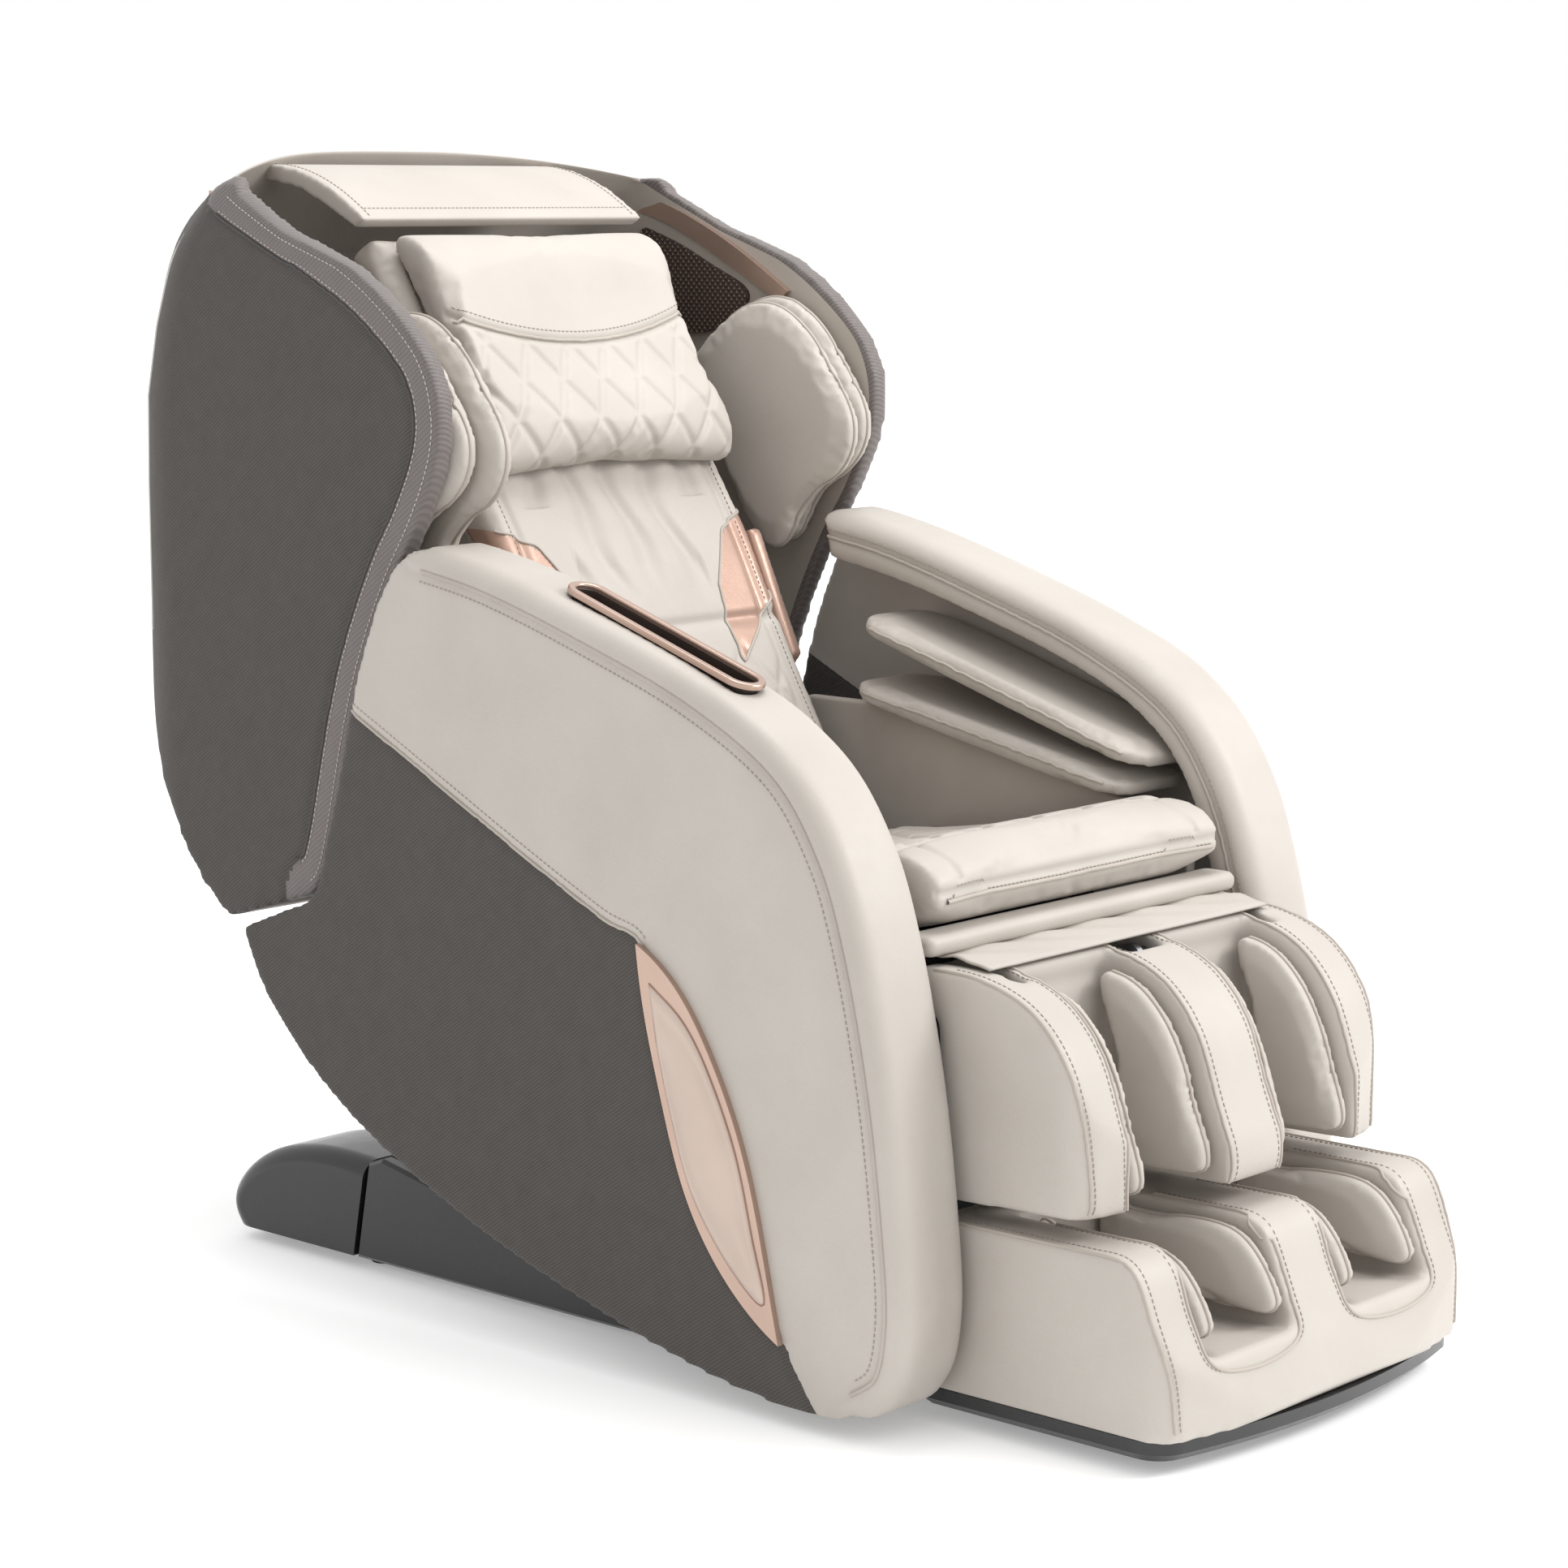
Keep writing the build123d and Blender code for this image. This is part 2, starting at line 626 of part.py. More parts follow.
MECH_X = 96.0
ROLLER_R = 30.0


def make_carriage():
    """Massage carriage: chassis with guide blocks, motors, and four rollers on two arms."""
    start = (RAIL_START[0] + RAIL_WAY[0] * 130, RAIL_START[1] + RAIL_WAY[1] * 130)

    def at(travel, depth, x):
        y, z = (start[i] + RAIL_WAY[i] * travel for i in (0, 1))
        return (x, *back_point((y, z), depth))

    with BuildPart() as chassis:
        with BuildSketch(along(at(0, 25, 0), RAIL_WAY)):
            Rectangle(2 * 176, 20)
        extrude(amount=110)
    save(chassis, "carriage_chassis")

    with BuildPart() as motors:
        for side in (-1, 1):
            with BuildSketch(along(at(14, 58, side * 62), RAIL_WAY)):
                Circle(22)
            extrude(amount=84)
    save(motors, "massage_motors")

    with BuildPart() as arms:
        for side in (-1, 1):
            with BuildSketch(along(at(0, -8, side * MECH_X), RAIL_WAY)):
                Rectangle(16, 44)
            extrude(amount=110)
    save(arms, "massage_arms")

    with BuildPart() as rollers:
        for side in (-1, 1):
            for travel in (8.0, 102.0):
                with Locations(Location(at(travel, -24, side * (MECH_X + 8 + 14)), (0, 90, 0))):
                    Cylinder(ROLLER_R, 26)
        fillet(rollers.edges(), radius=6)
    save(rollers, "massage_rollers")


SHOULDER_IN = [
    (487, 1033), (444, 1073), (378, 1101), (313, 1076), (256, 1011), (229, 950), (244, 910), (306, 856),
    (352, 806), (405, 848), (445, 916), (484, 990),
]
SHOULDER_OUT_SHIFT = (14.0, 6.0)


def make_shoulder_pads():
    """Two leaf-shaped air pads on each side at the shoulders, standing in front of the hood's wall."""
    outline_out = [(y + SHOULDER_OUT_SHIFT[0], z + SHOULDER_OUT_SHIFT[1]) for y, z in SHOULDER_IN]
    for first, outline, name in ((274.0, SHOULDER_IN, "inner"), (314.0, outline_out, "outer")):
        save(with_twin(slab(outline, first, 20.0)), f"shoulder_air_pads_{name}")


def make_hood_trim():
    """Speaker grille and metal bezel high on the inside of each hood wall."""
    face = HOOD_OUT - HOOD_WALL
    grille = [
        (620, 1186), (560, 1164), (500, 1136), (452, 1106), (500, 1066), (570, 1062), (622, 1086),
        (640, 1136),
    ]
    save(with_twin(slab(grille, face - 6, 6)), "speaker_grilles")
    with BuildPart() as arc:
        with BuildSketch(Plane.YZ.offset(face - 8)):
            with BuildLine():
                Spline((648, 1232), (560, 1206), (470, 1164), (384, 1112))
                Line((384, 1112), (396, 1100))
                Spline((396, 1100), (480, 1142), (560, 1182), (648, 1208))
                Line((648, 1208), (648, 1232))
            make_face()
        extrude(amount=8)
    save(with_twin(arc), "speaker_bezels")


def make_back_inserts():
    """Metallic side inserts beside the lower back, between the upper and lower cover pads."""
    with BuildPart() as insert:
        with BuildSketch(Plane.YZ.offset(PAD_HALF)):
            with BuildLine():
                Polyline((300, 640), (262, 690), (286, 740), (330, 836), (372, 820), (350, 720), close=True)
            make_face()
        extrude(amount=20)
    save(with_twin(insert), "back_side_inserts")


# ---------------------------------------------------------------- legrest
CALF_SIDE = [(-318, 464), (-400, 464), (-470, 440), (-518, 385), (-546, 310), (-562, 262), (-556, 238)]
FOOT_SIDE = [(-560, 214), (-602, 202), (-622, 160), (-650, 100), (-668, 46)]
WELL_FLOOR = 112.0


def bowed_plan(half, rear, front, bow, corner):
    """A plan outline with a bowed front and rounded front corners."""
    with BuildSketch(Plane.XY) as plan:
        with BuildLine():
            ThreePointArc((-half, front + bow), (0, front), (half, front + bow))
            Polyline((half, front + bow), (half, rear), (-half, rear), (-half, front + bow))
        make_face()
        fillet(plan.vertices().group_by(Axis.Y)[0], radius=corner)
    return plan.sketch


def leg_pads(outline, inner, outer):
    """Four air pads: one on each side of each leg's well."""
    with BuildPart() as pads:
        for first in (inner, outer - PAD_THICK, -inner - PAD_THICK, -outer):
            with BuildSketch(Plane.YZ.offset(first)):
                with BuildLine():
                    Spline(outline, periodic=True)
                make_face()
            extrude(amount=PAD_THICK)
    return pads


SLIDE_X, SLIDE_Y, SLIDE_WIDE, SLIDE_THICK = 120.0, -368.0, 22.0, 12.0
SLIDE_TOP, SLIDE_FOOT = 400.0, 120.0


def make_calf():
    """Calf rest with two wells and its four air pads."""
    with BuildPart() as calf:
        with BuildSketch(Plane.YZ.offset(-LEG_HALF)):
            with BuildLine():
                Spline(CALF_SIDE)
                Polyline(CALF_SIDE[-1], (-352, 232), (-352, 410), (-318, 440), CALF_SIDE[0])
            make_face()
        extrude(amount=2 * LEG_HALF)
        extrude(bowed_plan(LEG_HALF, -200, -566, 34, 30), amount=700, mode=Mode.INTERSECT)
        for side in (-1, 1):
            with BuildSketch(Plane.YZ.offset(WELL_IN if side > 0 else -WELL_OUT)):
                with BuildLine():
                    Polyline((-400, 520), (-400, 430), (-410, 150), (-700, 150), (-700, 520), close=True)
                make_face()
            extrude(amount=WELL_OUT - WELL_IN, mode=Mode.SUBTRACT)
            with Locations((side * (FRAME_PLATE_IN + FRAME_PLATE / 2), LEG_PIVOT[0] + 20, 450)):
                Box(FRAME_PLATE + 8, 120, 140, mode=Mode.SUBTRACT)
            with Locations((side * SLIDE_X, SLIDE_Y, (232 + SLIDE_TOP + 10) / 2)):
                Box(SLIDE_WIDE + 1, SLIDE_THICK + 1, SLIDE_TOP + 10 - 232, mode=Mode.SUBTRACT)
        with Locations((0, LEG_PIVOT[0] + 40, 390)):
            Box(2 * 34, 140, 150, mode=Mode.SUBTRACT)
        with Locations(Location((0, *LEG_PIVOT), (0, 90, 0))):
            Cylinder(PIN_R, 2 * (FRAME_PLATE_IN + FRAME_PLATE + 2), mode=Mode.SUBTRACT)
    save(calf, "calf_rest")

    make_shaft("leg_shaft", LEG_PIVOT, LEG_ACT_EYE, FRAME_PLATE_IN + FRAME_PLATE + 2)

    outline = [
        (-424, 446), (-458, 434), (-506, 380), (-540, 290), (-544, 258), (-510, 250), (-460, 252),
        (-432, 290), (-427, 370),
    ]
    save(leg_pads(outline, WELL_IN + 6, WELL_OUT - 6), "calf_air_pads")


def make_foot():
    """Footrest with two foot wells, its air pads, its black base moulding and its slide bars."""
    with BuildPart() as foot:
        with BuildSketch(Plane.YZ.offset(-LEG_HALF - 4)):
            with BuildLine():
                Polyline((-330, 36), (-342, 212), FOOT_SIDE[0])
                Spline(FOOT_SIDE)
                Polyline(FOOT_SIDE[-1], (-660, 36), (-330, 36))
            make_face()
        extrude(amount=2 * LEG_HALF + 8)
        extrude(bowed_plan(LEG_HALF + 4, -200, -676, 36, 34), amount=700, mode=Mode.INTERSECT)
        for side in (-1, 1):
            with BuildSketch(Plane.YZ.offset(WELL_IN if side > 0 else -WELL_OUT)):
                with BuildLine():
                    Polyline(
                        (-402, 300), (-410, 100), (-640, WELL_FLOOR - 4), (-720, WELL_FLOOR), (-720, 300),
                        close=True,
                    )
                make_face()
            extrude(amount=WELL_OUT - WELL_IN, mode=Mode.SUBTRACT)
            with Locations((side * SLIDE_X, SLIDE_Y, (SLIDE_FOOT + 260) / 2)):
                Box(SLIDE_WIDE, SLIDE_THICK, 260 - SLIDE_FOOT, mode=Mode.SUBTRACT)
    save(foot, "foot_rest")

    with BuildPart() as moulding:
        extrude(bowed_plan(LEG_HALF, -336, -668, 36, 40), amount=21)
        chamfer(moulding.faces().sort_by(Axis.Z)[0].edges(), length=8)
    save(moulding.part.moved(Location((0, 0, 15))), "foot_base_cover")

    outline = [
        (-430, 208), (-520, 206), (-590, 196), (-622, 160), (-632, 132), (-590, 122), (-480, 118),
        (-424, 134),
    ]
    save(leg_pads(outline, WELL_IN + 5, WELL_OUT - 5), "foot_air_pads")

    with BuildPart() as slides:
        for side in (-1, 1):
            with Locations((side * SLIDE_X, SLIDE_Y, (SLIDE_FOOT + SLIDE_TOP) / 2)):
                Box(SLIDE_WIDE, SLIDE_THICK, SLIDE_TOP - SLIDE_FOOT)
    save(slides, "foot_slide_bars")


make_base()
make_base_covers()
make_wheels()
make_power_unit()
make_seat_frame()
make_seat()
make_arms()
make_arm_air_pads()
make_leaf_trim()
make_hood()
make_back()
make_back_frame()
make_carriage()
make_shoulder_pads()
make_hood_trim()
make_back_inserts()
make_calf()
make_foot()
make_actuator("tilt", TILT_ACT_ROOT, TILT_ACT_EYE, 150, 60, TILT_ACT_X)
make_actuator("recline", RECLINE_ACT_ROOT, RECLINE_ACT_EYE, 200, 90)
make_actuator("leg", LEG_ACT_ROOT, LEG_ACT_EYE, 150, 14)
print(len(written), "nodes")
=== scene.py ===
"""Looks of the massage chair: soft covers, seams, stitching and trims on the frame. Metres."""

import json
import math

import bmesh
import bpy
import numpy as np
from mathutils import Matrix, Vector
from mathutils.bvhtree import BVHTree


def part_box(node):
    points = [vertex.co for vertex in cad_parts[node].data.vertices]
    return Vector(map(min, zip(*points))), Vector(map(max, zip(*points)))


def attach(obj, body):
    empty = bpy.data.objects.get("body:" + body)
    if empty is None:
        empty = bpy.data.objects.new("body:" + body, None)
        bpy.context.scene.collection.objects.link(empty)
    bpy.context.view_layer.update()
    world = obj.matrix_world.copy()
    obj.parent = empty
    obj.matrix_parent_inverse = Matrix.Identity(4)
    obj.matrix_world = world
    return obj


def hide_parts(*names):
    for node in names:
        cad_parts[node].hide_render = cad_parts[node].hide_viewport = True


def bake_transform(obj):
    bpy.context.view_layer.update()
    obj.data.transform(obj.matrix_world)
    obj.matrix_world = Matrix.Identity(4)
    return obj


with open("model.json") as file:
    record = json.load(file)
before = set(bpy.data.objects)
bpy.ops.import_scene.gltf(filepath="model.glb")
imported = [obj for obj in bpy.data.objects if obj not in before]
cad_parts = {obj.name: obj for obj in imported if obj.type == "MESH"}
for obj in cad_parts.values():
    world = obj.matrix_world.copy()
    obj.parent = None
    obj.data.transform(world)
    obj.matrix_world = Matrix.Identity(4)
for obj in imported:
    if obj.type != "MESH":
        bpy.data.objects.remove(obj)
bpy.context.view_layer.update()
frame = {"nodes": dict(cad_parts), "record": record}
nodes = frame["nodes"]

SHIFT = -0.07933  # from the outlines' y to the row's y


def yz(points):
    """Side-view outline in mm, (y, z), as an array in metres in the row frame."""
    return np.array(points, float) / 1000 + np.array([SHIFT, 0])


# ------------------------------------------------------------------ materials
class Nodes:
    """Short calls for building a node tree."""

    def __init__(self, name):
        self.mat = bpy.data.materials.new(name)
        self.mat.use_nodes = True
        self.tree = self.mat.node_tree
        self.bsdf = self.tree.nodes["Principled BSDF"]
        self.coord = self.tree.nodes.new("ShaderNodeTexCoord").outputs["Object"]

    def link(self, source, target):
        self.tree.links.new(source, target)

    def math(self, operation, a, b=0.0):
        node = self.tree.nodes.new("ShaderNodeMath")
        node.operation = operation
        for socket, value in zip(node.inputs, (a, b)):
            if isinstance(value, (int, float)):
                socket.default_value = value
            else:
                self.link(value, socket)
        return node.outputs[0]

    def noise(self, scale, detail=3.0):
        node = self.tree.nodes.new("ShaderNodeTexNoise")
        node.inputs["Scale"].default_value = scale
        node.inputs["Detail"].default_value = detail
        self.link(self.coord, node.inputs["Vector"])
        return node.outputs["Fac"]

    def cells(self, scale):
        node = self.tree.nodes.new("ShaderNodeTexVoronoi")
        node.feature = "DISTANCE_TO_EDGE"
        node.inputs["Scale"].default_value = scale
        self.link(self.coord, node.inputs["Vector"])
        return node.outputs["Distance"]

    def wave(self, direction, period):
        """Sine from -1 to 1 along a direction."""
        node = self.tree.nodes.new("ShaderNodeVectorMath")
        node.operation = "DOT_PRODUCT"
        node.inputs[1].default_value = direction
        self.link(self.coord, node.inputs[0])
        return self.math("SINE", self.math("MULTIPLY", node.outputs["Value"], 2 * math.pi / period))

    def colour(self, dark, light, factor, low=0.3, high=0.7):
        ramp = self.tree.nodes.new("ShaderNodeValToRGB")
        ramp.color_ramp.elements[0].position = low
        ramp.color_ramp.elements[0].color = (*dark, 1)
        ramp.color_ramp.elements[1].position = high
        ramp.color_ramp.elements[1].color = (*light, 1)
        self.link(factor, ramp.inputs["Fac"])
        self.link(ramp.outputs["Color"], self.bsdf.inputs["Base Color"])

    def rough(self, low, high, factor):
        span = self.tree.nodes.new("ShaderNodeMapRange")
        span.inputs["To Min"].default_value = low
        span.inputs["To Max"].default_value = high
        self.link(factor, span.inputs["Value"])
        self.link(span.outputs["Result"], self.bsdf.inputs["Roughness"])

    def bump(self, height, distance, strength=1.0):
        node = self.tree.nodes.new("ShaderNodeBump")
        node.inputs["Distance"].default_value = distance
        node.inputs["Strength"].default_value = strength
        self.link(height, node.inputs["Height"])
        self.link(node.outputs["Normal"], self.bsdf.inputs["Normal"])


def leather(name, dark, light, low=0.42, high=0.6, grain=420, depth=0.0004, metallic=0.0):
    n = Nodes(name)
    n.colour(dark, light, n.noise(9.0), 0.25, 0.75)
    cells = n.math("MINIMUM", n.cells(grain), 0.3)
    n.bump(n.math("ADD", cells, n.math("MULTIPLY", n.noise(130.0), 0.35)), depth, 0.6)
    n.rough(low, high, n.noise(60.0))
    n.bsdf.inputs["Metallic"].default_value = metallic
    n.bsdf.inputs["Sheen Weight"].default_value = 0.05
    return n.mat


def twill(name, dark, light, period=0.0042, depth=0.0005, rough=(0.7, 0.88)):
    n = Nodes(name)
    ribs = n.math("MULTIPLY", n.wave((0.3, 0.7, 1.0), period), 0.5)
    threads = n.math("MULTIPLY", n.wave((0.3, 1.0, -0.7), period * 0.45), 0.2)
    weave = n.math("ADD", n.math("ADD", ribs, threads), 0.5)
    mottle = n.math("MULTIPLY", n.noise(35.0), 0.35)
    n.colour(dark, light, n.math("ADD", n.math("MULTIPLY", weave, 0.65), mottle), 0.05, 0.95)
    n.bump(weave, depth, 0.7)
    n.rough(*rough, n.noise(80.0))
    n.bsdf.inputs["Sheen Weight"].default_value = 0.1
    return n.mat


def moulded(name, dark, light, rough=(0.35, 0.5), metallic=0.0, grain=900.0, depth=0.00015, coat=0.0):
    n = Nodes(name)
    n.colour(dark, light, n.noise(6.0), 0.3, 0.7)
    n.bump(n.noise(grain, 2.0), depth, 0.4)
    n.rough(*rough, n.noise(40.0))
    n.bsdf.inputs["Metallic"].default_value = metallic
    n.bsdf.inputs["Coat Weight"].default_value = coat
    return n.mat


def perforated(name):
    n = Nodes(name)
    pitch = 0.009
    rows = n.math("MULTIPLY", n.wave((0, 1, 0), pitch), n.wave((0, 0, 1), pitch))
    n.colour((0.045, 0.03, 0.024), (0.34, 0.26, 0.21), rows, 0.72, 0.86)
    n.bump(rows, 0.0006, 0.8)
    n.rough(0.45, 0.6, n.noise(50.0))
    return n.mat


BEIGE = leather("beige_leather", (0.42, 0.385, 0.345), (0.46, 0.425, 0.385))
# a darker copy of the beige leather: painted shade for the arms' inner walls and the hood's lining, where
# little light falls
BEIGE_PAINTED_SHADE = leather("beige_leather_painted_shade", (0.35, 0.315, 0.278), (0.40, 0.36, 0.32))
THREAD = moulded("beige_thread", (0.30, 0.26, 0.22), (0.36, 0.31, 0.27), (0.6, 0.75))
PIPING = leather("beige_piping", (0.36, 0.32, 0.28), (0.42, 0.375, 0.33), depth=0.0002)
TAUPE = twill("taupe_twill", (0.034, 0.029, 0.025), (0.072, 0.062, 0.054))
RIM = twill("mauve_rim", (0.105, 0.09, 0.085), (0.155, 0.135, 0.128), period=0.0055, rough=(0.5, 0.65))
RIM_THREAD = moulded("rim_thread", (0.42, 0.36, 0.33), (0.5, 0.44, 0.4), (0.6, 0.7))
DARK_PIPING = leather("dark_piping", (0.03, 0.026, 0.023), (0.05, 0.043, 0.04), depth=0.0002)
ROSE = leather("rose_leather", (0.42, 0.27, 0.21), (0.52, 0.35, 0.28), 0.3, 0.42, metallic=0.45)
ROSE_GOLD = moulded(
    "rose_gold", (0.46, 0.325, 0.262), (0.52, 0.375, 0.305), (0.26, 0.36), 0.75, 500, coat=0.2,
)
ROSE_SATIN = moulded("rose_satin", (0.50, 0.40, 0.34), (0.56, 0.455, 0.39), (0.36, 0.46), 0.35, 700)
ROSE_LINE = moulded("rose_gold_line", (0.28, 0.18, 0.14), (0.34, 0.22, 0.17), (0.3, 0.4), metallic=0.8)
BLACK = moulded("black_plastic", (0.006, 0.006, 0.0065), (0.012, 0.012, 0.013), (0.22, 0.36), coat=0.15)
DARK_BROWN = moulded("brown_plastic", (0.03, 0.02, 0.016), (0.05, 0.034, 0.027), (0.4, 0.55))
GRILLE = perforated("speaker_grille")
STEEL = moulded("ground_steel", (0.45, 0.45, 0.46), (0.58, 0.58, 0.6), (0.25, 0.4), metallic=1.0)
FRAME_PAINT = moulded("frame_paint", (0.012, 0.012, 0.013), (0.02, 0.02, 0.022), (0.45, 0.6))
CAST = moulded("cast_aluminium", (0.5, 0.5, 0.51), (0.62, 0.62, 0.63), (0.4, 0.55), metallic=0.9)
RUBBER = moulded("rubber", (0.012, 0.012, 0.012), (0.022, 0.022, 0.022), (0.7, 0.85), grain=300)

SLOT_MATERIALS = {
    "frame_paint": FRAME_PAINT, "steel": STEEL, "aluminium": CAST, "rubber": RUBBER, "taupe_fabric": TAUPE,
    "beige_leather": BEIGE, "rose_leather": ROSE, "rose_gold": ROSE_GOLD, "brown_plastic": DARK_BROWN,
    "black_plastic": BLACK,
}
slot_of = {row["node"]: row["material_slot"] for row in frame["record"]["subparts"]}
for node_name, node in nodes.items():
    look = GRILLE if node_name == "speaker_grilles" else SLOT_MATERIALS[slot_of[node_name]]
    for place in node.material_slots:
        place.material = look


# ------------------------------------------------------------------ mesh tools
def add_object(name, mesh, *materials):
    obj = bpy.data.objects.new(name, mesh)
    bpy.context.scene.collection.objects.link(obj)
    for material in materials:
        mesh.materials.append(material)
    return obj


def bake(obj):
    """Applies the object's modifiers."""
    bpy.context.view_layer.update()
    done = obj.evaluated_get(bpy.context.evaluated_depsgraph_get())
    mesh = bpy.data.meshes.new_from_object(done)
    obj.modifiers.clear()
    obj.data = mesh


def points(obj):
    flat = np.empty(len(obj.data.vertices) * 3)
    obj.data.vertices.foreach_get("co", flat)
    return flat.reshape(-1, 3)


def normals(obj):
    flat = np.empty(len(obj.data.vertices) * 3)
    obj.data.vertices.foreach_get("normal", flat)
    return flat.reshape(-1, 3)


def set_points(obj, co):
    obj.data.vertices.foreach_set("co", co.ravel())
    obj.data.update()


def face_centres(obj):
    flat = np.empty(len(obj.data.polygons) * 3)
    obj.data.polygons.foreach_get("center", flat)
    return flat.reshape(-1, 3)


def paint(obj, index):
    """Gives each face a material by index."""
    obj.data.polygons.foreach_set("material_index", index.astype(np.int32))
    obj.data.update()


def smooth_shade(obj):
    obj.data.polygons.foreach_set("use_smooth", np.ones(len(obj.data.polygons), bool))
    obj.data.update()


def relax(obj, rounds, factor=0.5):
    modifier = obj.modifiers.new("relax", "SMOOTH")
    modifier.iterations = rounds
    modifier.factor = factor
    bake(obj)


def soft(name, source, voxel=0.006, rounds=6, materials=(BEIGE,), stretch=1.0):
    """A remeshed, rounded copy of CAD nodes that replaces them."""
    work = bmesh.new()
    for node_name in source:
        work.from_mesh(nodes[node_name].data)
    bmesh.ops.triangulate(work, faces=work.faces)
    mesh = bpy.data.meshes.new(name)
    work.to_mesh(mesh)
    work.free()
    obj = add_object(name, mesh)
    if stretch != 1.0:
        co = points(obj)
        middle = (co.min(0) + co.max(0)) / 2
        set_points(obj, middle + (co - middle) * stretch)
    remesh = obj.modifiers.new("remesh", "REMESH")
    remesh.mode = "VOXEL"
    remesh.voxel_size = voxel
    bake(obj)
    if rounds:
        relax(obj, rounds)
    obj.data.materials.clear()
    for material in materials:
        obj.data.materials.append(material)
    smooth_shade(obj)
    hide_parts(*source)
    return obj


def subdivide(obj):
    modifier = obj.modifiers.new("subdivision", "SUBSURF")
    modifier.levels = 1
    modifier.render_levels = 1
    bake(obj)
    smooth_shade(obj)


def inflate(obj, pressure, cap, frames=16):
    """Lets cloth pressure fill the piece, with each point's move capped."""
    before = points(obj)
    cloth = obj.modifiers.new("fill", "CLOTH")
    settings = cloth.settings
    settings.quality = 4
    settings.use_pressure = True
    settings.uniform_pressure_force = pressure
    settings.effector_weights.gravity = 0
    settings.tension_stiffness = 12
    settings.compression_stiffness = 12
    settings.bending_stiffness = 1.5
    cloth.point_cache.frame_start = 1
    cloth.point_cache.frame_end = frames
    for number in range(1, frames + 1):
        bpy.context.scene.frame_set(number)
    bake(obj)
    bpy.context.scene.frame_set(1)
    move = points(obj) - before
    size = np.linalg.norm(move, axis=1, keepdims=True)
    set_points(obj, before + move * np.minimum(1, cap / np.maximum(size, 1e-9)))
    smooth_shade(obj)


def dent(obj, depth_of):
    """Moves points inwards along their normals by depth_of(points, normals)."""
    co, out = points(obj), normals(obj)
    set_points(obj, co - out * depth_of(co, out)[:, None])


def ridge(distance, width):
    return np.exp(-((distance / width) ** 2))


def wave_lines(value, pitch):
    """Distance to the nearest of evenly spaced lines."""
    return np.abs((value / pitch + 0.5) % 1.0 - 0.5) * pitch


def diamonds(u, v, wide, tall):
    """Distance to a net of diamonds that are wide by tall."""
    a = wave_lines(u / wide + v / tall, 1.0)
    b = wave_lines(u / wide - v / tall, 1.0)
    return np.minimum(a, b) * wide * tall / math.hypot(wide, tall)


def resample(path, step, closed=False):
    """Evenly spaced points on a smooth line through the path's points."""
    p = np.array(path, float)
    if closed:
        p = np.vstack([p[-1:], p, p[:2]])
    else:
        p = np.vstack([2 * p[0] - p[1], p, 2 * p[-1] - p[-2]])
    fine = []
    t = np.linspace(0, 1, 12, endpoint=False)[:, None]
    for a, b, c, d in zip(p[:-3], p[1:-2], p[2:-1], p[3:]):
        square, cube = 2 * a - 5 * b + 4 * c - d, 3 * b - a - 3 * c + d
        fine.append(0.5 * (2 * b + (c - a) * t + square * t**2 + cube * t**3))
    fine = np.vstack(fine + [p[-2:-1]])
    length = np.concatenate([[0], np.cumsum(np.linalg.norm(np.diff(fine, axis=0), axis=1))])
    count = max(2, int(round(length[-1] / step)) + 1)
    at = np.linspace(0, length[-1], count)
    return np.stack([np.interp(at, length, fine[:, i]) for i in range(fine.shape[1])], 1)


def tree_of(*objs):
    verts, faces = [], []
    for obj in objs:
        start = len(verts)
        verts += [v.co.copy() for v in obj.data.vertices]
        faces += [[i + start for i in f.vertices] for f in obj.data.polygons]
    return BVHTree.FromPolygons(verts, faces)


def lay(path, tree, lift=0.0):
    """The path's points moved on to a surface, lifted along its normal; also the normals."""
    placed, outward = [], []
    for p in path:
        where, normal, _, _ = tree.find_nearest(Vector(p))
        placed.append(np.array(where) + np.array(normal) * lift)
        outward.append(np.array(normal))
    return np.array(placed), np.array(outward)


def tube(name, path, radius, material, body, closed=False):
    """Piping: a round cord along a path."""
    curve = bpy.data.curves.new(name, "CURVE")
    curve.dimensions = "3D"
    curve.bevel_depth = radius
    curve.bevel_resolution = 3
    spline = curve.splines.new("POLY")
    spline.points.add(len(path) - 1)
    for point, place in zip(spline.points, path):
        point.co = (*place, 1)
    spline.use_cyclic_u = closed
    shape = add_object(name + "_curve", curve)
    bpy.context.view_layer.update()
    mesh = bpy.data.meshes.new_from_object(shape.evaluated_get(bpy.context.evaluated_depsgraph_get()))
    bpy.data.objects.remove(shape)
    mesh.materials.clear()
    obj = add_object(name, mesh, material)
    smooth_shade(obj)
    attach(obj, body)
    return obj


def stitches(name, path, tree, material, body, pitch=0.0065, long=0.0042, radius=0.0007, lift=0.0004):
    """A row of thread dashes lying on a surface."""
    placed, outward = lay(resample(path, pitch), tree, lift)
    verts, faces = [], []
    for i in range(len(placed) - 1):
        way = placed[i + 1] - placed[i]
        size = np.linalg.norm(way)
        if size < 1e-6 or size > pitch * 3:
            continue
        way /= size
        across = np.cross(way, outward[i])
        start = len(verts)
        for t, r in ((0, 0.5), (long * 0.2, 1.0), (long * 0.8, 1.0), (long, 0.5)):
            for k in range(6):
                angle = k * math.pi / 3
                ring = across * math.cos(angle) + outward[i] * math.sin(angle)
                verts.append(placed[i] + way * t + ring * radius * r)
        for row in range(3):
            for k in range(6):
                a, b = start + row * 6 + k, start + row * 6 + (k + 1) % 6
                faces.append((a, b, b + 6, a + 6))
    mesh = bpy.data.meshes.new(name)
    mesh.from_pydata([tuple(v) for v in verts], [], faces)
    obj = add_object(name, mesh, material)
    smooth_shade(obj)
    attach(obj, body)
    return obj


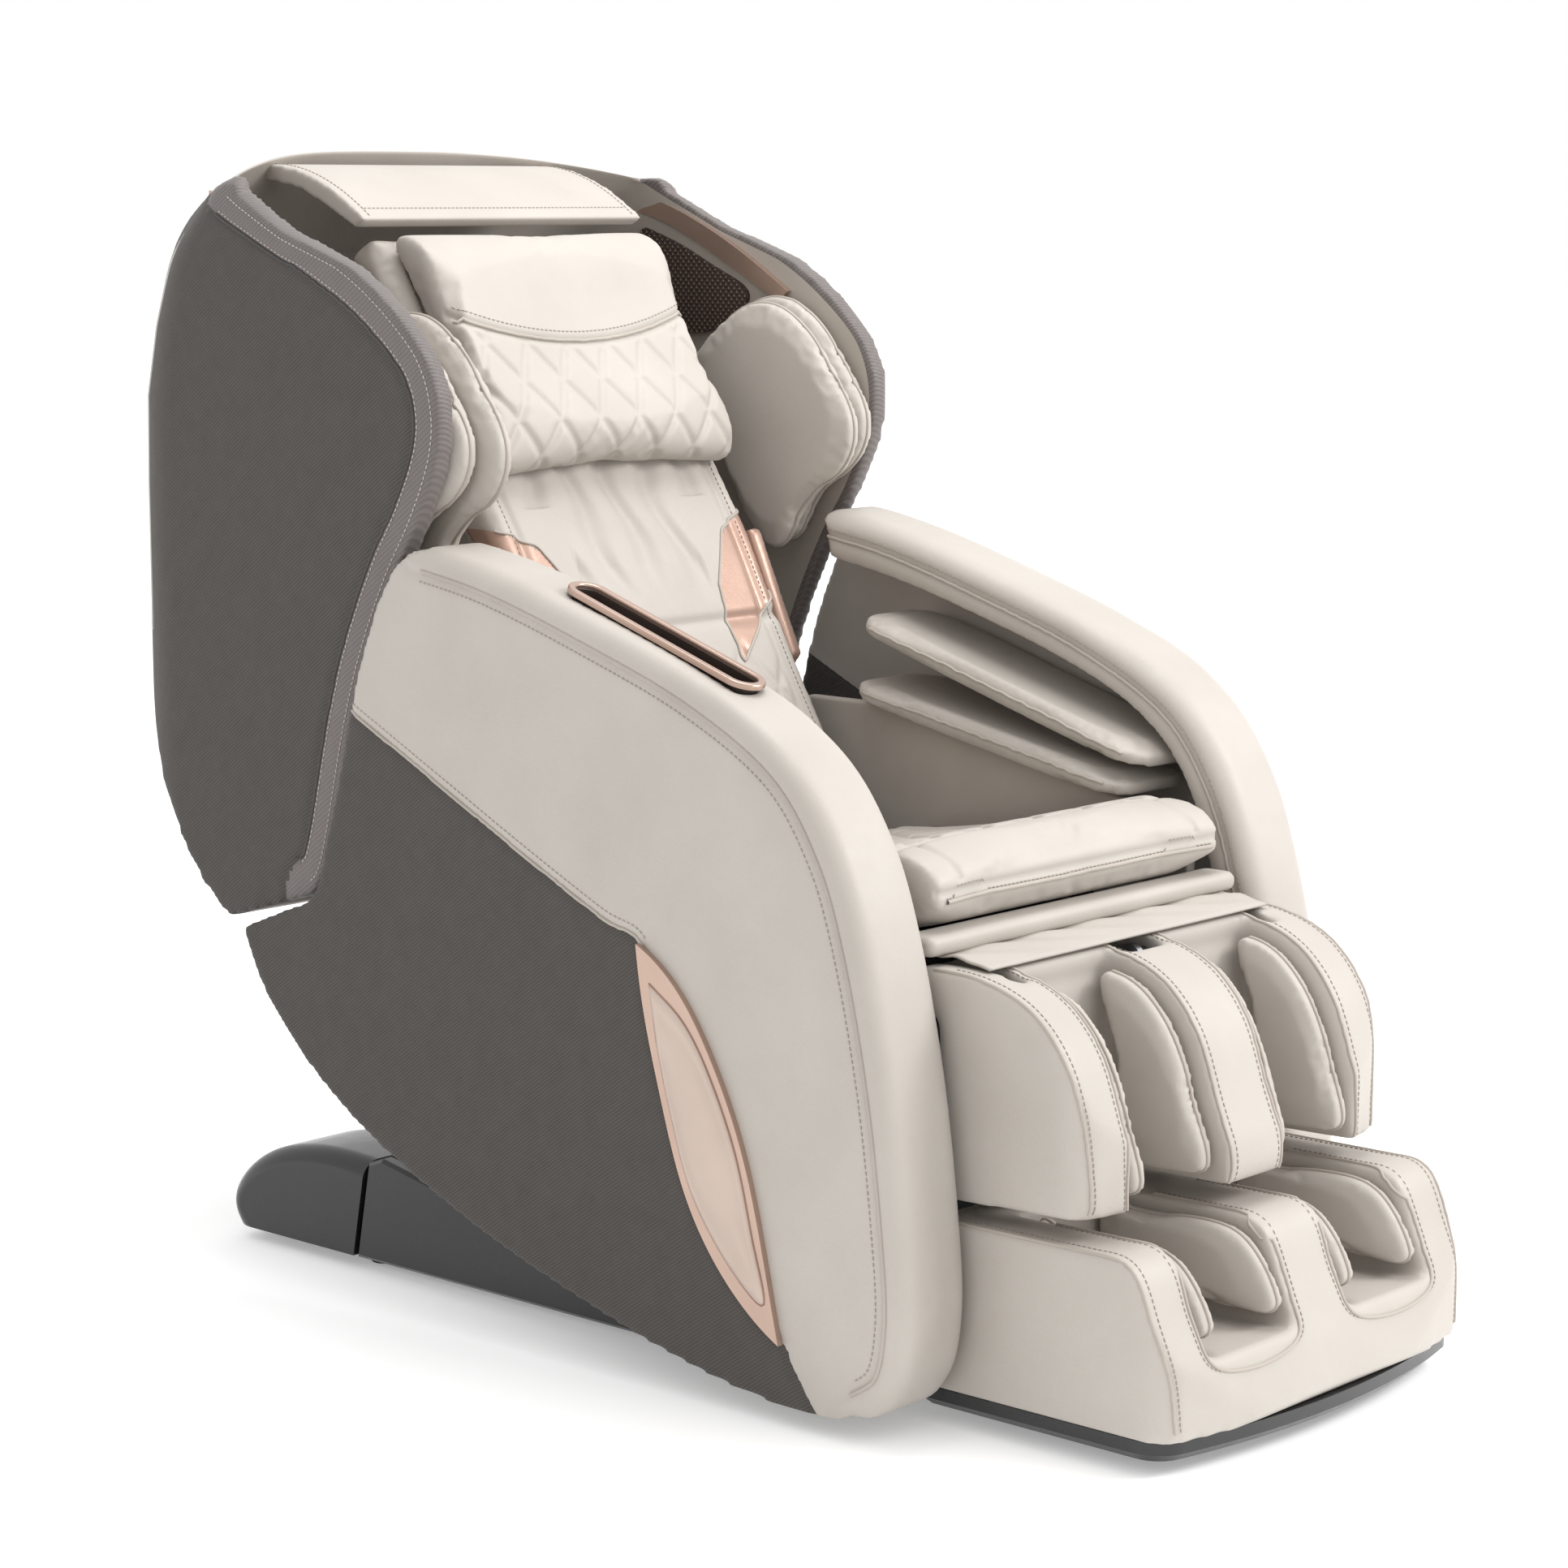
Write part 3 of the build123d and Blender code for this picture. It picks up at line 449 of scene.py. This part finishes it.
def nearest_on(line, co2):
    """Distance of 2-D points to a polyline, and signed side (positive on its left)."""
    best = np.full(len(co2), 9.0)
    side = np.zeros(len(co2))
    for a, b in zip(line[:-1], line[1:]):
        d = b - a
        t = np.clip(((co2 - a) @ d) / (d @ d), 0, 1)
        gap = co2 - (a + t[:, None] * d)
        dist = np.linalg.norm(gap, axis=1)
        cross = d[0] * gap[:, 1] - d[1] * gap[:, 0]
        hit = dist < best
        best[hit] = dist[hit]
        side[hit] = np.sign(cross[hit])
    return best, side


def nearest_points(line, co2):
    """The closest points of a polyline to 2-D points."""
    best = np.full(len(co2), 9.0)
    where = np.array(co2)
    for a, b in zip(line[:-1], line[1:]):
        d = b - a
        t = np.clip(((co2 - a) @ d) / (d @ d), 0, 1)
        spot = a + t[:, None] * d
        dist = np.linalg.norm(co2 - spot, axis=1)
        hit = dist < best
        best[hit] = dist[hit]
        where[hit] = spot[hit]
    return where, best


def snap(obj, line, pair, axes=(1, 2), reach=0.012):
    """Straightens the border between two painted zones: its points move on to a polyline."""
    count = len(obj.data.polygons)
    kind = np.empty(count, np.int32)
    obj.data.polygons.foreach_get("material_index", kind)
    sizes = np.empty(count, np.int32)
    obj.data.polygons.foreach_get("loop_total", sizes)
    corners = np.empty(len(obj.data.loops), np.int32)
    obj.data.loops.foreach_get("vertex_index", corners)
    per_corner = np.repeat(kind, sizes)
    touches = [np.zeros(len(obj.data.vertices), bool) for _ in pair]
    for flags, index in zip(touches, pair):
        flags[corners[per_corner == index]] = True
    border = touches[0] & touches[1]
    co = points(obj)
    flat = co[:, axes]
    spot, dist = nearest_points(line, flat[border])
    near = dist < reach
    moved = flat[border]
    moved[near] = spot[near]
    ids = np.flatnonzero(border)
    co[ids, axes[0]] = moved[:, 0]
    co[ids, axes[1]] = moved[:, 1]
    set_points(obj, co)


def edge_trim(name, outline, x, obj, body):
    """Piping round a pad's rim."""
    tree = tree_of(obj)
    loop = at_x(x, resample(outline, 0.006, closed=True))
    tube(f"{name}_piping", lay(loop, tree, 0.0004)[0], 0.0019, PIPING, body, closed=True)


def inside(outline, co2):
    """Whether 2-D points lie inside a closed outline."""
    result = np.zeros(len(co2), bool)
    x, y = co2[:, 0], co2[:, 1]
    for (x1, y1), (x2, y2) in zip(outline, np.roll(outline, -1, axis=0)):
        crosses = ((y1 > y) != (y2 > y)) & (x < (x2 - x1) * (y - y1) / (y2 - y1 + 1e-12) + x1)
        result ^= crosses
    return result


def at_x(x, line2):
    """A (y, z) line as 3-D points at one x."""
    return np.column_stack([np.full(len(line2), x), line2])


SIDES = (("left", -1), ("right", 1))

# ------------------------------------------------------------------ arms
CREST = resample(yz([
    (275, 858), (165, 838), (25, 798), (-130, 745), (-250, 680), (-316, 598), (-354, 500), (-386, 360),
    (-405, 220), (-410, 130), (-394, 62), (-345, 24),
]), 0.006)
TWO_TONE = resample(yz([
    (388, 672), (370, 664), (232, 598), (121, 545), (2, 491), (-57, 469), (-68, 398), (-90, 317), (-128, 212),
    (-190, 130), (-252, 86), (-262, 69), (-301, 15),
]), 0.006)
BEIGE_ZONE = np.vstack([TWO_TONE, yz([(-500, 0), (-500, 900), (420, 900), (400, 690)])])
LEAF = resample(yz([
    (-56, 471), (-114, 430), (-158, 370), (-203, 276), (-232, 172), (-252, 86), (-190, 130), (-128, 212),
    (-90, 317), (-68, 398),
]), 0.006)


def offset_line(line, by):
    """A 2-D line moved sideways, to its left for positive by."""
    way = np.gradient(line, axis=0)
    way /= np.linalg.norm(way, axis=1, keepdims=True)
    return line + np.column_stack([-way[:, 1], way[:, 0]]) * by


ARM_MIDDLE, ARM_HALF = 0.326, 0.054
# the leaf's raised inlay: share of the leaf's outline and height over the trim
LENS_STEPS = (
    (0.80, 0.0), (0.78, 0.0025), (0.70, 0.004), (0.66, 0.0032), (0.62, 0.0045), (0.35, 0.006), (0.05, 0.0065),
)
for label, sign in SIDES:
    arm = soft(f"arm_{label}", [f"arm_panel_{label}", f"arm_cap_{label}"], 0.0055, 4, (BEIGE, TAUPE))
    co = points(arm)
    gap, _ = nearest_on(CREST, co[:, 1:])
    corner = 0.026
    over = np.maximum(0, np.abs(np.abs(co[:, 0]) - ARM_MIDDLE) - (ARM_HALF - corner)) / corner
    want = corner * (1 - np.sqrt(np.clip(1 - over**2, 0, 1)))
    inward = offset_line(CREST, 1.0) - CREST
    which = np.argmin(((co[:, None, 1:] - CREST[None, ::3]) ** 2).sum(2), axis=1) * 3
    push = np.maximum(0, want - gap) * (gap < corner)
    co[:, 1:] += inward[np.minimum(which, len(CREST) - 1)] * push[:, None]
    set_points(arm, co)
    relax(arm, 3)
    co = points(arm)
    seam_gap, _ = nearest_on(TWO_TONE, co[:, 1:])
    top_gap = np.abs(nearest_on(CREST, co[:, 1:])[0] - 0.028)
    flank = (np.abs(co[:, 0]) > 0.366) | (np.abs(co[:, 0]) < 0.285)
    outer = np.abs(co[:, 0]) > 0.366
    co[:, 0] -= sign * 0.0025 * ridge(seam_gap, 0.005) * outer
    co[:, 0] -= sign * 0.003 * ridge(top_gap, 0.006) * flank * np.where(outer, 1, -1)
    set_points(arm, co)
    centres = face_centres(arm)
    paint(arm, (~inside(BEIGE_ZONE, centres[:, 1:])) & (np.abs(centres[:, 0]) > 0.3))
    snap(arm, TWO_TONE, (0, 1))
    smooth_shade(arm)
    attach(arm, "seat")
    tree = tree_of(arm)
    face = sign * 0.380
    top_seam = offset_line(CREST, 0.026)[2:-2]
    placed, _ = lay(at_x(face, top_seam), tree, 0.0006)
    tube(f"arm_piping_{label}", placed, 0.0022, PIPING, "seat")
    stitches(f"arm_stitch_{label}", at_x(face, offset_line(CREST, 0.036)[2:-4]), tree, THREAD, "seat")
    inner_seam = offset_line(CREST, 0.030)[2:-40]
    placed, _ = lay(at_x(sign * 0.272, inner_seam), tree, 0.0006)
    tube(f"arm_inner_piping_{label}", placed, 0.0022, PIPING, "seat")
    inner_row = at_x(sign * 0.276, offset_line(CREST, 0.021)[2:-40])
    stitches(f"arm_inner_stitch_{label}", inner_row, tree, THREAD, "seat")
    upper_line = TWO_TONE[TWO_TONE[:, 0] > -0.06 + SHIFT]
    placed, _ = lay(at_x(face, upper_line), tree, 0.0004)
    tube(f"arm_two_tone_piping_{label}", placed, 0.002, PIPING, "seat")
    two_tone_row = at_x(face, offset_line(upper_line, -0.010))
    stitches(f"arm_two_tone_stitch_{label}", two_tone_row, tree, THREAD, "seat")
    middle = (LEAF.max(0) + LEAF.min(0)) / 2
    rings = []
    for scale, rise in LENS_STEPS:
        rings.append(at_x(sign * (0.3868 + rise), middle + (LEAF - middle) * scale))
    count = len(LEAF)
    lens_faces = [
        (k * count + i, k * count + (i + 1) % count, (k + 1) * count + (i + 1) % count, (k + 1) * count + i)
        for k in range(len(rings) - 1) for i in range(count)
    ]
    lens_faces.append(tuple((len(rings) - 1) * count + i for i in range(count)))
    lens_mesh = bpy.data.meshes.new(f"leaf_lens_{label}")
    lens_mesh.from_pydata([tuple(v) for v in np.vstack(rings)], [], lens_faces)
    lens = add_object(f"leaf_lens_{label}", lens_mesh, ROSE_SATIN)
    smooth_shade(lens)
    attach(lens, "seat")
    groove = middle + (LEAF - middle) * 0.80
    tube(f"leaf_groove_{label}", at_x(sign * 0.387, groove), 0.0011, ROSE_LINE, "seat", closed=True)
    for place in ("upper", "lower"):
        pad = soft(f"arm_air_pad_{place}_{label}", [f"arm_air_pad_{place}_{label}"], 0.0045, 5, (BEIGE,))
        inflate(pad, 3.0, 0.006)
        low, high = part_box(f"arm_air_pad_{place}_{label}")
        inner = sign * min(abs(low[0]), abs(high[0]))
        run = np.linspace(0.06, 0.94, 40)
        bottom, top = low[2] + 0.012, high[2] - 0.006
        rim = np.column_stack([
            np.full(40, inner), low[1] + (high[1] - low[1]) * run, bottom + (top - bottom) * run,
        ])
        tube(f"arm_pad_piping_{place}_{label}", lay(rim, tree_of(pad), 0.0004)[0], 0.0018, PIPING, "seat")
        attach(pad, "seat")
    # the arm's inner wall is beige leather, given the darker copy: painted shade between arm and seat
    wall = soft(f"arm_inner_wall_{label}", [f"arm_inner_wall_{label}"], 0.0045, 3, (BEIGE_PAINTED_SHADE,))
    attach(wall, "seat")

# ------------------------------------------------------------------ seat
seat = soft("seat_cushion", ["seat_cushion"], 0.006, 8)
inflate(seat, 3.5, 0.009)
subdivide(seat)


def seat_quilt(co, out):
    top = np.clip((out[:, 2] - 0.3) / 0.4, 0, 1) * (co[:, 1] > -0.262 + SHIFT) * (np.abs(co[:, 0]) < 0.195)
    lines = ridge(diamonds(co[:, 0], co[:, 1], 0.085, 0.12), 0.006)
    border = ridge(np.abs(co[:, 0]) - 0.20, 0.005) + ridge(co[:, 1] - (-0.268 + SHIFT), 0.005)
    front_seam = ridge(co[:, 2] - 0.536, 0.004) * (out[:, 1] < -0.5)
    return 0.0045 * lines * top + 0.004 * border * (out[:, 2] > 0.2) + 0.004 * front_seam


dent(seat, seat_quilt)
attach(seat, "seat")
seat_tree = tree_of(seat)
front = np.linspace(-0.225, 0.225, 60)
row = np.column_stack([front, np.full(60, -0.36 + SHIFT), np.full(60, 0.536)])
stitches("seat_front_stitch", row, seat_tree, THREAD, "seat")
row = np.column_stack([front, np.full(60, -0.36 + SHIFT), np.full(60, 0.522)])
tube("seat_front_piping", lay(row, seat_tree, 0.001)[0], 0.0024, PIPING, "seat")
bolster = soft("front_bolster", ["front_bolster"], 0.0045, 5)
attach(bolster, "seat")

# ------------------------------------------------------------------ backrest
HOOD_FRONT = resample(yz([
    (471, 453), (440, 492), (398, 647), (369, 730), (328, 813), (288, 876), (258, 938), (249, 990),
    (262, 1043), (296, 1086), (371, 1142), (476, 1194), (560, 1232), (640, 1262), (700, 1283),
]), 0.006)


def shape_hood(co):
    """Rounds the hood's rear corners towards the top, and lowers its top at the sides."""
    co = np.array(co)
    heights = [0.90, 1.00, 1.08, 1.18, 1.25, 1.29]
    reaches = [0.775, 0.772, 0.752, 0.712, 0.655, 0.62]
    keep_from = 0.50
    limit = np.interp(co[:, 2], heights, reaches)
    plain = np.interp(co[:, 2], [0.9, 1.18, 1.25, 1.29], [0.775, 0.775, 0.75, 0.73])
    corner = np.clip((np.abs(co[:, 0]) - 0.12) / 0.23, 0, 1) ** 1.6
    ratio = 1 - corner * (1 - (limit - keep_from) / (plain - keep_from))
    y = co[:, 1] - SHIFT
    y = np.where(y > keep_from, keep_from + (y - keep_from) * ratio, y)
    co[:, 1] = y + SHIFT
    droop = np.clip((co[:, 2] - 1.15) / 0.13, 0, 1)
    co[:, 2] -= 0.040 * (np.abs(co[:, 0]) / 0.366) ** 3 * droop
    tuck = np.clip((co[:, 2] - 1.12) / 0.17, 0, 1) ** 2 * np.clip((y - 0.42) / 0.25, 0, 1)
    co[:, 0] *= 1 - 0.10 * tuck
    return co


hood = soft("hood", ["hood_shell"], 0.006, 4, (TAUPE, RIM, BEIGE_PAINTED_SHADE))
centres = face_centres(hood)
rim_gap, _ = nearest_on(HOOD_FRONT, centres[:, 1:])
lining_heights = [0.4, 0.5, 0.6, 0.715, 0.835, 0.95, 1.07, 1.16, 1.3]
lining_depths = [0.64, 0.65, 0.7, 0.742, 0.768, 0.782, 0.776, 0.757, 0.71]
behind = np.interp(centres[:, 2], lining_heights, lining_depths)
within = (np.abs(centres[:, 0]) < 0.352) & (centres[:, 1] - SHIFT < behind + 0.012)
kind = np.where(rim_gap < 0.042, 1, 0)
# kind 2 is the hood's beige lining, given the darker copy of the leather: painted shade inside the hood
kind[within & (rim_gap > 0.010)] = 2
paint(hood, kind)
rim_line = offset_line(HOOD_FRONT, -0.042)
snap(hood, rim_line[2:-2], (0, 1), reach=0.016)
snap(hood, offset_line(HOOD_FRONT, -0.010)[1:-1], (1, 2), reach=0.010)
co = points(hood)
rim_gap, _ = nearest_on(HOOD_FRONT, co[:, 1:])
co[:, 0] -= np.sign(co[:, 0]) * 0.0025 * ridge(rim_gap - 0.042, 0.005) * (np.abs(co[:, 0]) > 0.355)
set_points(hood, shape_hood(co))
smooth_shade(hood)
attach(hood, "back")
hood_tree = tree_of(hood)
for label, sign in SIDES:
    for inset, kind_name in ((0.042, "piping"), (0.036, "stitch_b"), (0.012, "stitch_a")):
        line = shape_hood(at_x(sign * 0.366, offset_line(HOOD_FRONT, -inset)[2:-6]))
        if kind_name == "piping":
            tube(f"hood_piping_{label}", lay(line, hood_tree, 0.0004)[0], 0.0018, DARK_PIPING, "back")
        else:
            stitches(f"hood_{kind_name}_{label}", line, hood_tree, RIM_THREAD, "back")

back = soft("back_cushion", ["back_cushion"], 0.006, 8)
inflate(back, 3.0, 0.006)
subdivide(back)


def back_folds(co, out):
    facing = np.clip(-out[:, 1] * 1.6, 0, 1)
    low = np.clip((0.72 - co[:, 2]) / 0.05, 0, 1)
    high = np.clip((co[:, 2] - 0.76) / 0.05, 0, 1)
    quilt = ridge(diamonds(co[:, 0], co[:, 2], 0.075, 0.11), 0.0055) * low * (np.abs(co[:, 0]) < 0.17)
    bend = co[:, 0] + 0.012 * np.sin(co[:, 2] * 23) + 0.006 * np.sin(co[:, 2] * 57 + co[:, 0] * 30)
    between = np.abs(co[:, 0]) < np.where(co[:, 2] < 0.88, 0.10, 0.16)
    folds = (0.5 + 0.5 * np.sin(bend * 2 * math.pi / 0.062)) ** 2 * high * between
    band = ridge(co[:, 2] - 0.74, 0.007) + ridge(np.abs(co[:, 0]) - 0.172, 0.006)
    return facing * (0.004 * quilt + 0.007 * folds + 0.0045 * band)


dent(back, back_folds)
back.data.materials.append(ROSE)
PATCH = np.array([
    (0.104, 0.725), (0.112, 0.775), (0.150, 0.835), (0.215, 0.865), (0.215, 0.775), (0.165, 0.735),
    (0.108, 0.690),
])
centres = face_centres(back)
front_side = np.array([polygon.normal.y for polygon in back.data.polygons]) < 0.3
patched = inside(PATCH, np.column_stack([np.abs(centres[:, 0]), centres[:, 2]])) & front_side
paint(back, patched)
for label, sign in SIDES:
    loop = np.vstack([PATCH, PATCH[:1]])
    steps = np.linspace(0, 1, 12, endpoint=False)[:, None]
    fine = np.vstack([a + (b - a) * t for a, b in zip(loop[:-1], loop[1:]) for t in steps])
    snap_line = np.column_stack([fine[:, 0] * sign, fine[:, 1]])
    snap(back, np.vstack([snap_line, snap_line[:1]]), (0, 1), axes=(0, 2), reach=0.014)
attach(back, "back")
back_tree = tree_of(back)
for label, sign in SIDES:
    run = fine[np.abs(fine[:, 0]) < 0.204]
    depth = np.interp(run[:, 1], [0.512, 0.620, 0.738, 0.835, 0.920], [0.136, 0.210, 0.277, 0.328, 0.382])
    edge = np.column_stack([run[:, 0] * sign, depth + SHIFT, run[:, 1]])
    start = np.argmax(np.linalg.norm(np.diff(np.vstack([edge, edge[:1]]), axis=0), axis=1)) + 1
    placed, _ = lay(np.roll(edge, -start, axis=0), back_tree, 0.0006)
    tube(f"back_patch_piping_{label}", placed, 0.0018, PIPING, "back")
for label, sign in SIDES:
    side_line = resample(np.column_stack([np.full(8, sign * 0.182), yz([
        (136, 512), (210, 620), (277, 738), (328, 835), (382, 920), (430, 1000), (492, 1115), (520, 1165),
    ])]), 0.01)
    stitches(f"back_stitch_{label}", side_line, back_tree, THREAD, "back")

flap = soft("head_flap", ["head_flap"], 0.004, 4)
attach(flap, "back")
flap_tree = tree_of(flap)
flap_line = yz([(526, 1204), (560, 1228), (620, 1254), (688, 1264)])
for label, sign in SIDES:
    stitches(f"flap_stitch_{label}", at_x(sign * 0.212, resample(flap_line, 0.01)), flap_tree, THREAD, "back")
across = np.linspace(-0.21, 0.21, 50)
row = np.column_stack([across, np.full(50, 0.536 + SHIFT), np.full(50, 1.214)])
stitches("flap_front_stitch", row, flap_tree, THREAD, "back")

pillow = soft("head_pillow", ["head_pillow"], 0.0055, 8, stretch=0.985)
inflate(pillow, 4.0, 0.014)
subdivide(pillow)


def pillow_curve(x):
    return 1.062 + 0.035 * (x / 0.2) ** 2


def pillow_quilt(co, out):
    facing = np.clip(-out[:, 1] * 1.8, 0, 1) * (np.abs(co[:, 0]) < 0.188)
    below = np.clip((pillow_curve(co[:, 0]) - co[:, 2]) / 0.012, 0, 1)
    lines = ridge(diamonds(co[:, 0], co[:, 2], 0.062, 0.085), 0.005) * below
    seam = ridge(co[:, 2] - pillow_curve(co[:, 0]), 0.005)
    return facing * (0.004 * lines + 0.005 * seam)


dent(pillow, pillow_quilt)
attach(pillow, "pillow")
pillow_tree = tree_of(pillow)
across = np.linspace(-0.19, 0.19, 60)
row = np.column_stack([across, 0.395 + SHIFT + (pillow_curve(across) - 1.06) * 0.6, pillow_curve(across)])
tube("pillow_piping", lay(row, pillow_tree, 0.0008)[0], 0.0022, PIPING, "pillow")
stitches("pillow_stitch", row + [0, 0, 0.012], pillow_tree, THREAD, "pillow")

SHOULDER = yz([
    (487, 1033), (444, 1073), (378, 1101), (313, 1076), (256, 1011), (229, 950), (244, 910), (306, 856),
    (352, 806), (405, 848), (445, 916), (484, 990),
])
inserts = soft("back_side_inserts", ["back_side_inserts"], 0.0045, 4, (ROSE,))
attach(inserts, "back")
for place in ("inner", "outer"):
    pads = soft(f"shoulder_air_pads_{place}", [f"shoulder_air_pads_{place}"], 0.0045, 5)
    inflate(pads, 3.0, 0.007)
    outline = SHOULDER if place == "inner" else SHOULDER + np.array([0.014, 0.006])
    x = 0.284 if place == "inner" else 0.324
    for label, sign in SIDES:
        edge_trim(f"shoulder_{place}_{label}", outline, sign * x, pads, "back")
    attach(pads, "back")

# ------------------------------------------------------------------ legrest
calf = soft("calf_rest", ["calf_rest"], 0.006, 6)
subdivide(calf)
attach(calf, "leg")
calf_tree = tree_of(calf)
CALF_TOP = resample(yz([
    (-345, 466), (-400, 464), (-470, 440), (-518, 385), (-546, 310), (-562, 262), (-556, 240),
]), 0.008)
for label, sign in SIDES:
    for number, (x, aside) in enumerate(((0.258, -0.008), (0.198, 0.008), (0.044, -0.008))):
        edge = lay(at_x(sign * x, CALF_TOP), calf_tree, 0.0003)[0]
        tube(f"calf_piping_{number}_{label}", edge, 0.0019, PIPING, "leg")
        row = at_x(sign * (x + aside), CALF_TOP[3:])
        stitches(f"calf_stitch_{number}_{label}", row, calf_tree, THREAD, "leg")
pads = soft("calf_air_pads", ["calf_air_pads"], 0.0045, 5)
inflate(pads, 3.0, 0.005)
CALF_PAD = yz([
    (-424, 446), (-458, 434), (-506, 380), (-540, 290), (-544, 258), (-510, 250), (-460, 252), (-432, 290),
    (-427, 370),
])
for label, sign in SIDES:
    edge_trim(f"calf_pad_inner_{label}", CALF_PAD, sign * 0.065, pads, "leg")
    edge_trim(f"calf_pad_outer_{label}", CALF_PAD, sign * 0.177, pads, "leg")
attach(pads, "leg")
foot = soft("foot_rest", ["foot_rest"], 0.006, 6)
subdivide(foot)
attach(foot, "foot")
foot_tree = tree_of(foot)
FOOT_TOP = resample(yz([(-350, 212), (-560, 214), (-602, 202), (-622, 160), (-650, 100), (-668, 46)]), 0.008)
for label, sign in SIDES:
    edge = lay(at_x(sign * 0.262, FOOT_TOP), foot_tree, 0.0003)[0]
    tube(f"foot_piping_{label}", edge, 0.0019, PIPING, "foot")
    stitches(f"foot_stitch_{label}", at_x(sign * 0.252, FOOT_TOP), foot_tree, THREAD, "foot")
    for number, (near, far) in enumerate(((0.040, 0.202), (0.034, 0.208))):
        mouth = np.array([
            (near, -0.46, 0.214), (near, -0.56, 0.212), (near, -0.605, 0.185), (near, -0.63, 0.14),
            (near + 0.012, -0.655, 0.104), (0.121, -0.665, 0.094), (far - 0.012, -0.655, 0.104),
            (far, -0.63, 0.14), (far, -0.605, 0.185), (far, -0.56, 0.212), (far, -0.46, 0.214),
        ]) * np.array([sign, 1, 1]) + np.array([0, SHIFT, 0])
        if number == 0:
            placed, _ = lay(resample(mouth, 0.006), foot_tree, 0.0003)
            tube(f"foot_mouth_piping_{label}", placed, 0.0019, PIPING, "foot")
        else:
            stitches(f"foot_mouth_stitch_{label}", mouth, foot_tree, THREAD, "foot")
pads = soft("foot_air_pads", ["foot_air_pads"], 0.0045, 5)
inflate(pads, 3.0, 0.005)
FOOT_PAD = yz([
    (-430, 208), (-520, 206), (-590, 196), (-622, 160), (-632, 132), (-590, 122), (-480, 118), (-424, 134),
])
for label, sign in SIDES:
    edge_trim(f"foot_pad_inner_{label}", FOOT_PAD, sign * 0.064, pads, "foot")
    edge_trim(f"foot_pad_outer_{label}", FOOT_PAD, sign * 0.178, pads, "foot")
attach(pads, "foot")

# thin cover over the joint between the seat's front edge and the top of the calf rest
BRIDGE = resample(yz([(-300, 470), (-325, 473), (-350, 474), (-375, 472), (-400, 467)]), 0.006)
verts = []
columns = np.linspace(-0.238, 0.238, 80)
for y, z in BRIDGE:
    along = (y - BRIDGE[0, 0]) / (BRIDGE[-1, 0] - BRIDGE[0, 0])
    for x in columns:
        ripple = 0.0015 * math.sin(x * 70 + y * 160) * math.sin(along * math.pi)
        verts.append((x, y, z + ripple))
width = len(columns)
faces = [
    (i * width + k, i * width + k + 1, (i + 1) * width + k + 1, (i + 1) * width + k)
    for i in range(len(BRIDGE) - 1) for k in range(width - 1)
]
mesh = bpy.data.meshes.new("leg_bridge_cover")
mesh.from_pydata(verts, [], faces)
bridge = add_object("leg_bridge_cover", mesh, BEIGE)
thick = bridge.modifiers.new("thickness", "SOLIDIFY")
thick.thickness = 0.0025
thick.offset = -1
bake(bridge)
smooth_shade(bridge)
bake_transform(bridge)

# ------------------------------------------------------------------ studio
floor_material = moulded("studio_floor", (0.93, 0.93, 0.93), (0.94, 0.94, 0.94), (0.7, 0.8))
floor_shader = floor_material.node_tree.nodes["Principled BSDF"]
floor_shader.inputs["Emission Color"].default_value = (1, 1, 1, 1)
floor_shader.inputs["Emission Strength"].default_value = 0.28
mesh = bpy.data.meshes.new("floor")
mesh.from_pydata([(-40, -40, 0), (40, -40, 0), (40, 40, 0), (-40, 40, 0)], [], [(0, 1, 2, 3)])
floor = add_object("floor", mesh, floor_material)

world = bpy.data.worlds.new("studio")
bpy.context.scene.world = world
world.use_nodes = True
world.node_tree.nodes["Background"].inputs["Color"].default_value = (1, 1, 1, 1)
world.node_tree.nodes["Background"].inputs["Strength"].default_value = 1.0


def area_light(name, place, aim, size, power):
    light = bpy.data.lights.new(name, "AREA")
    light.shape = "SQUARE"
    light.size = size
    light.energy = power
    obj = bpy.data.objects.new(name, light)
    bpy.context.scene.collection.objects.link(obj)
    obj.location = place
    obj.rotation_euler = (Vector(aim) - Vector(place)).to_track_quat("-Z", "Y").to_euler()


area_light("key", (1.8, -2.9, 2.6), (0, -0.1, 0.6), 1.4, 90)
area_light("top", (0.3, -0.2, 3.2), (0, 0, 0.5), 1.6, 42)

camera = bpy.data.objects.new("camera", bpy.data.cameras.new("camera"))
bpy.context.scene.collection.objects.link(camera)
camera.location = (-3.122, -2.7231 + SHIFT, 1.2274)
azimuth, elevation = math.radians(-48.0), math.radians(8.8)
backwards = Vector((
    math.sin(azimuth) * math.cos(elevation), -math.cos(azimuth) * math.cos(elevation), math.sin(elevation),
))
camera.rotation_euler = (-backwards).to_track_quat("-Z", "Y").to_euler()
camera.data.lens = 87.41
camera.data.sensor_width = 36
bpy.context.scene.camera = camera
bpy.context.scene.view_settings.view_transform = "Standard"
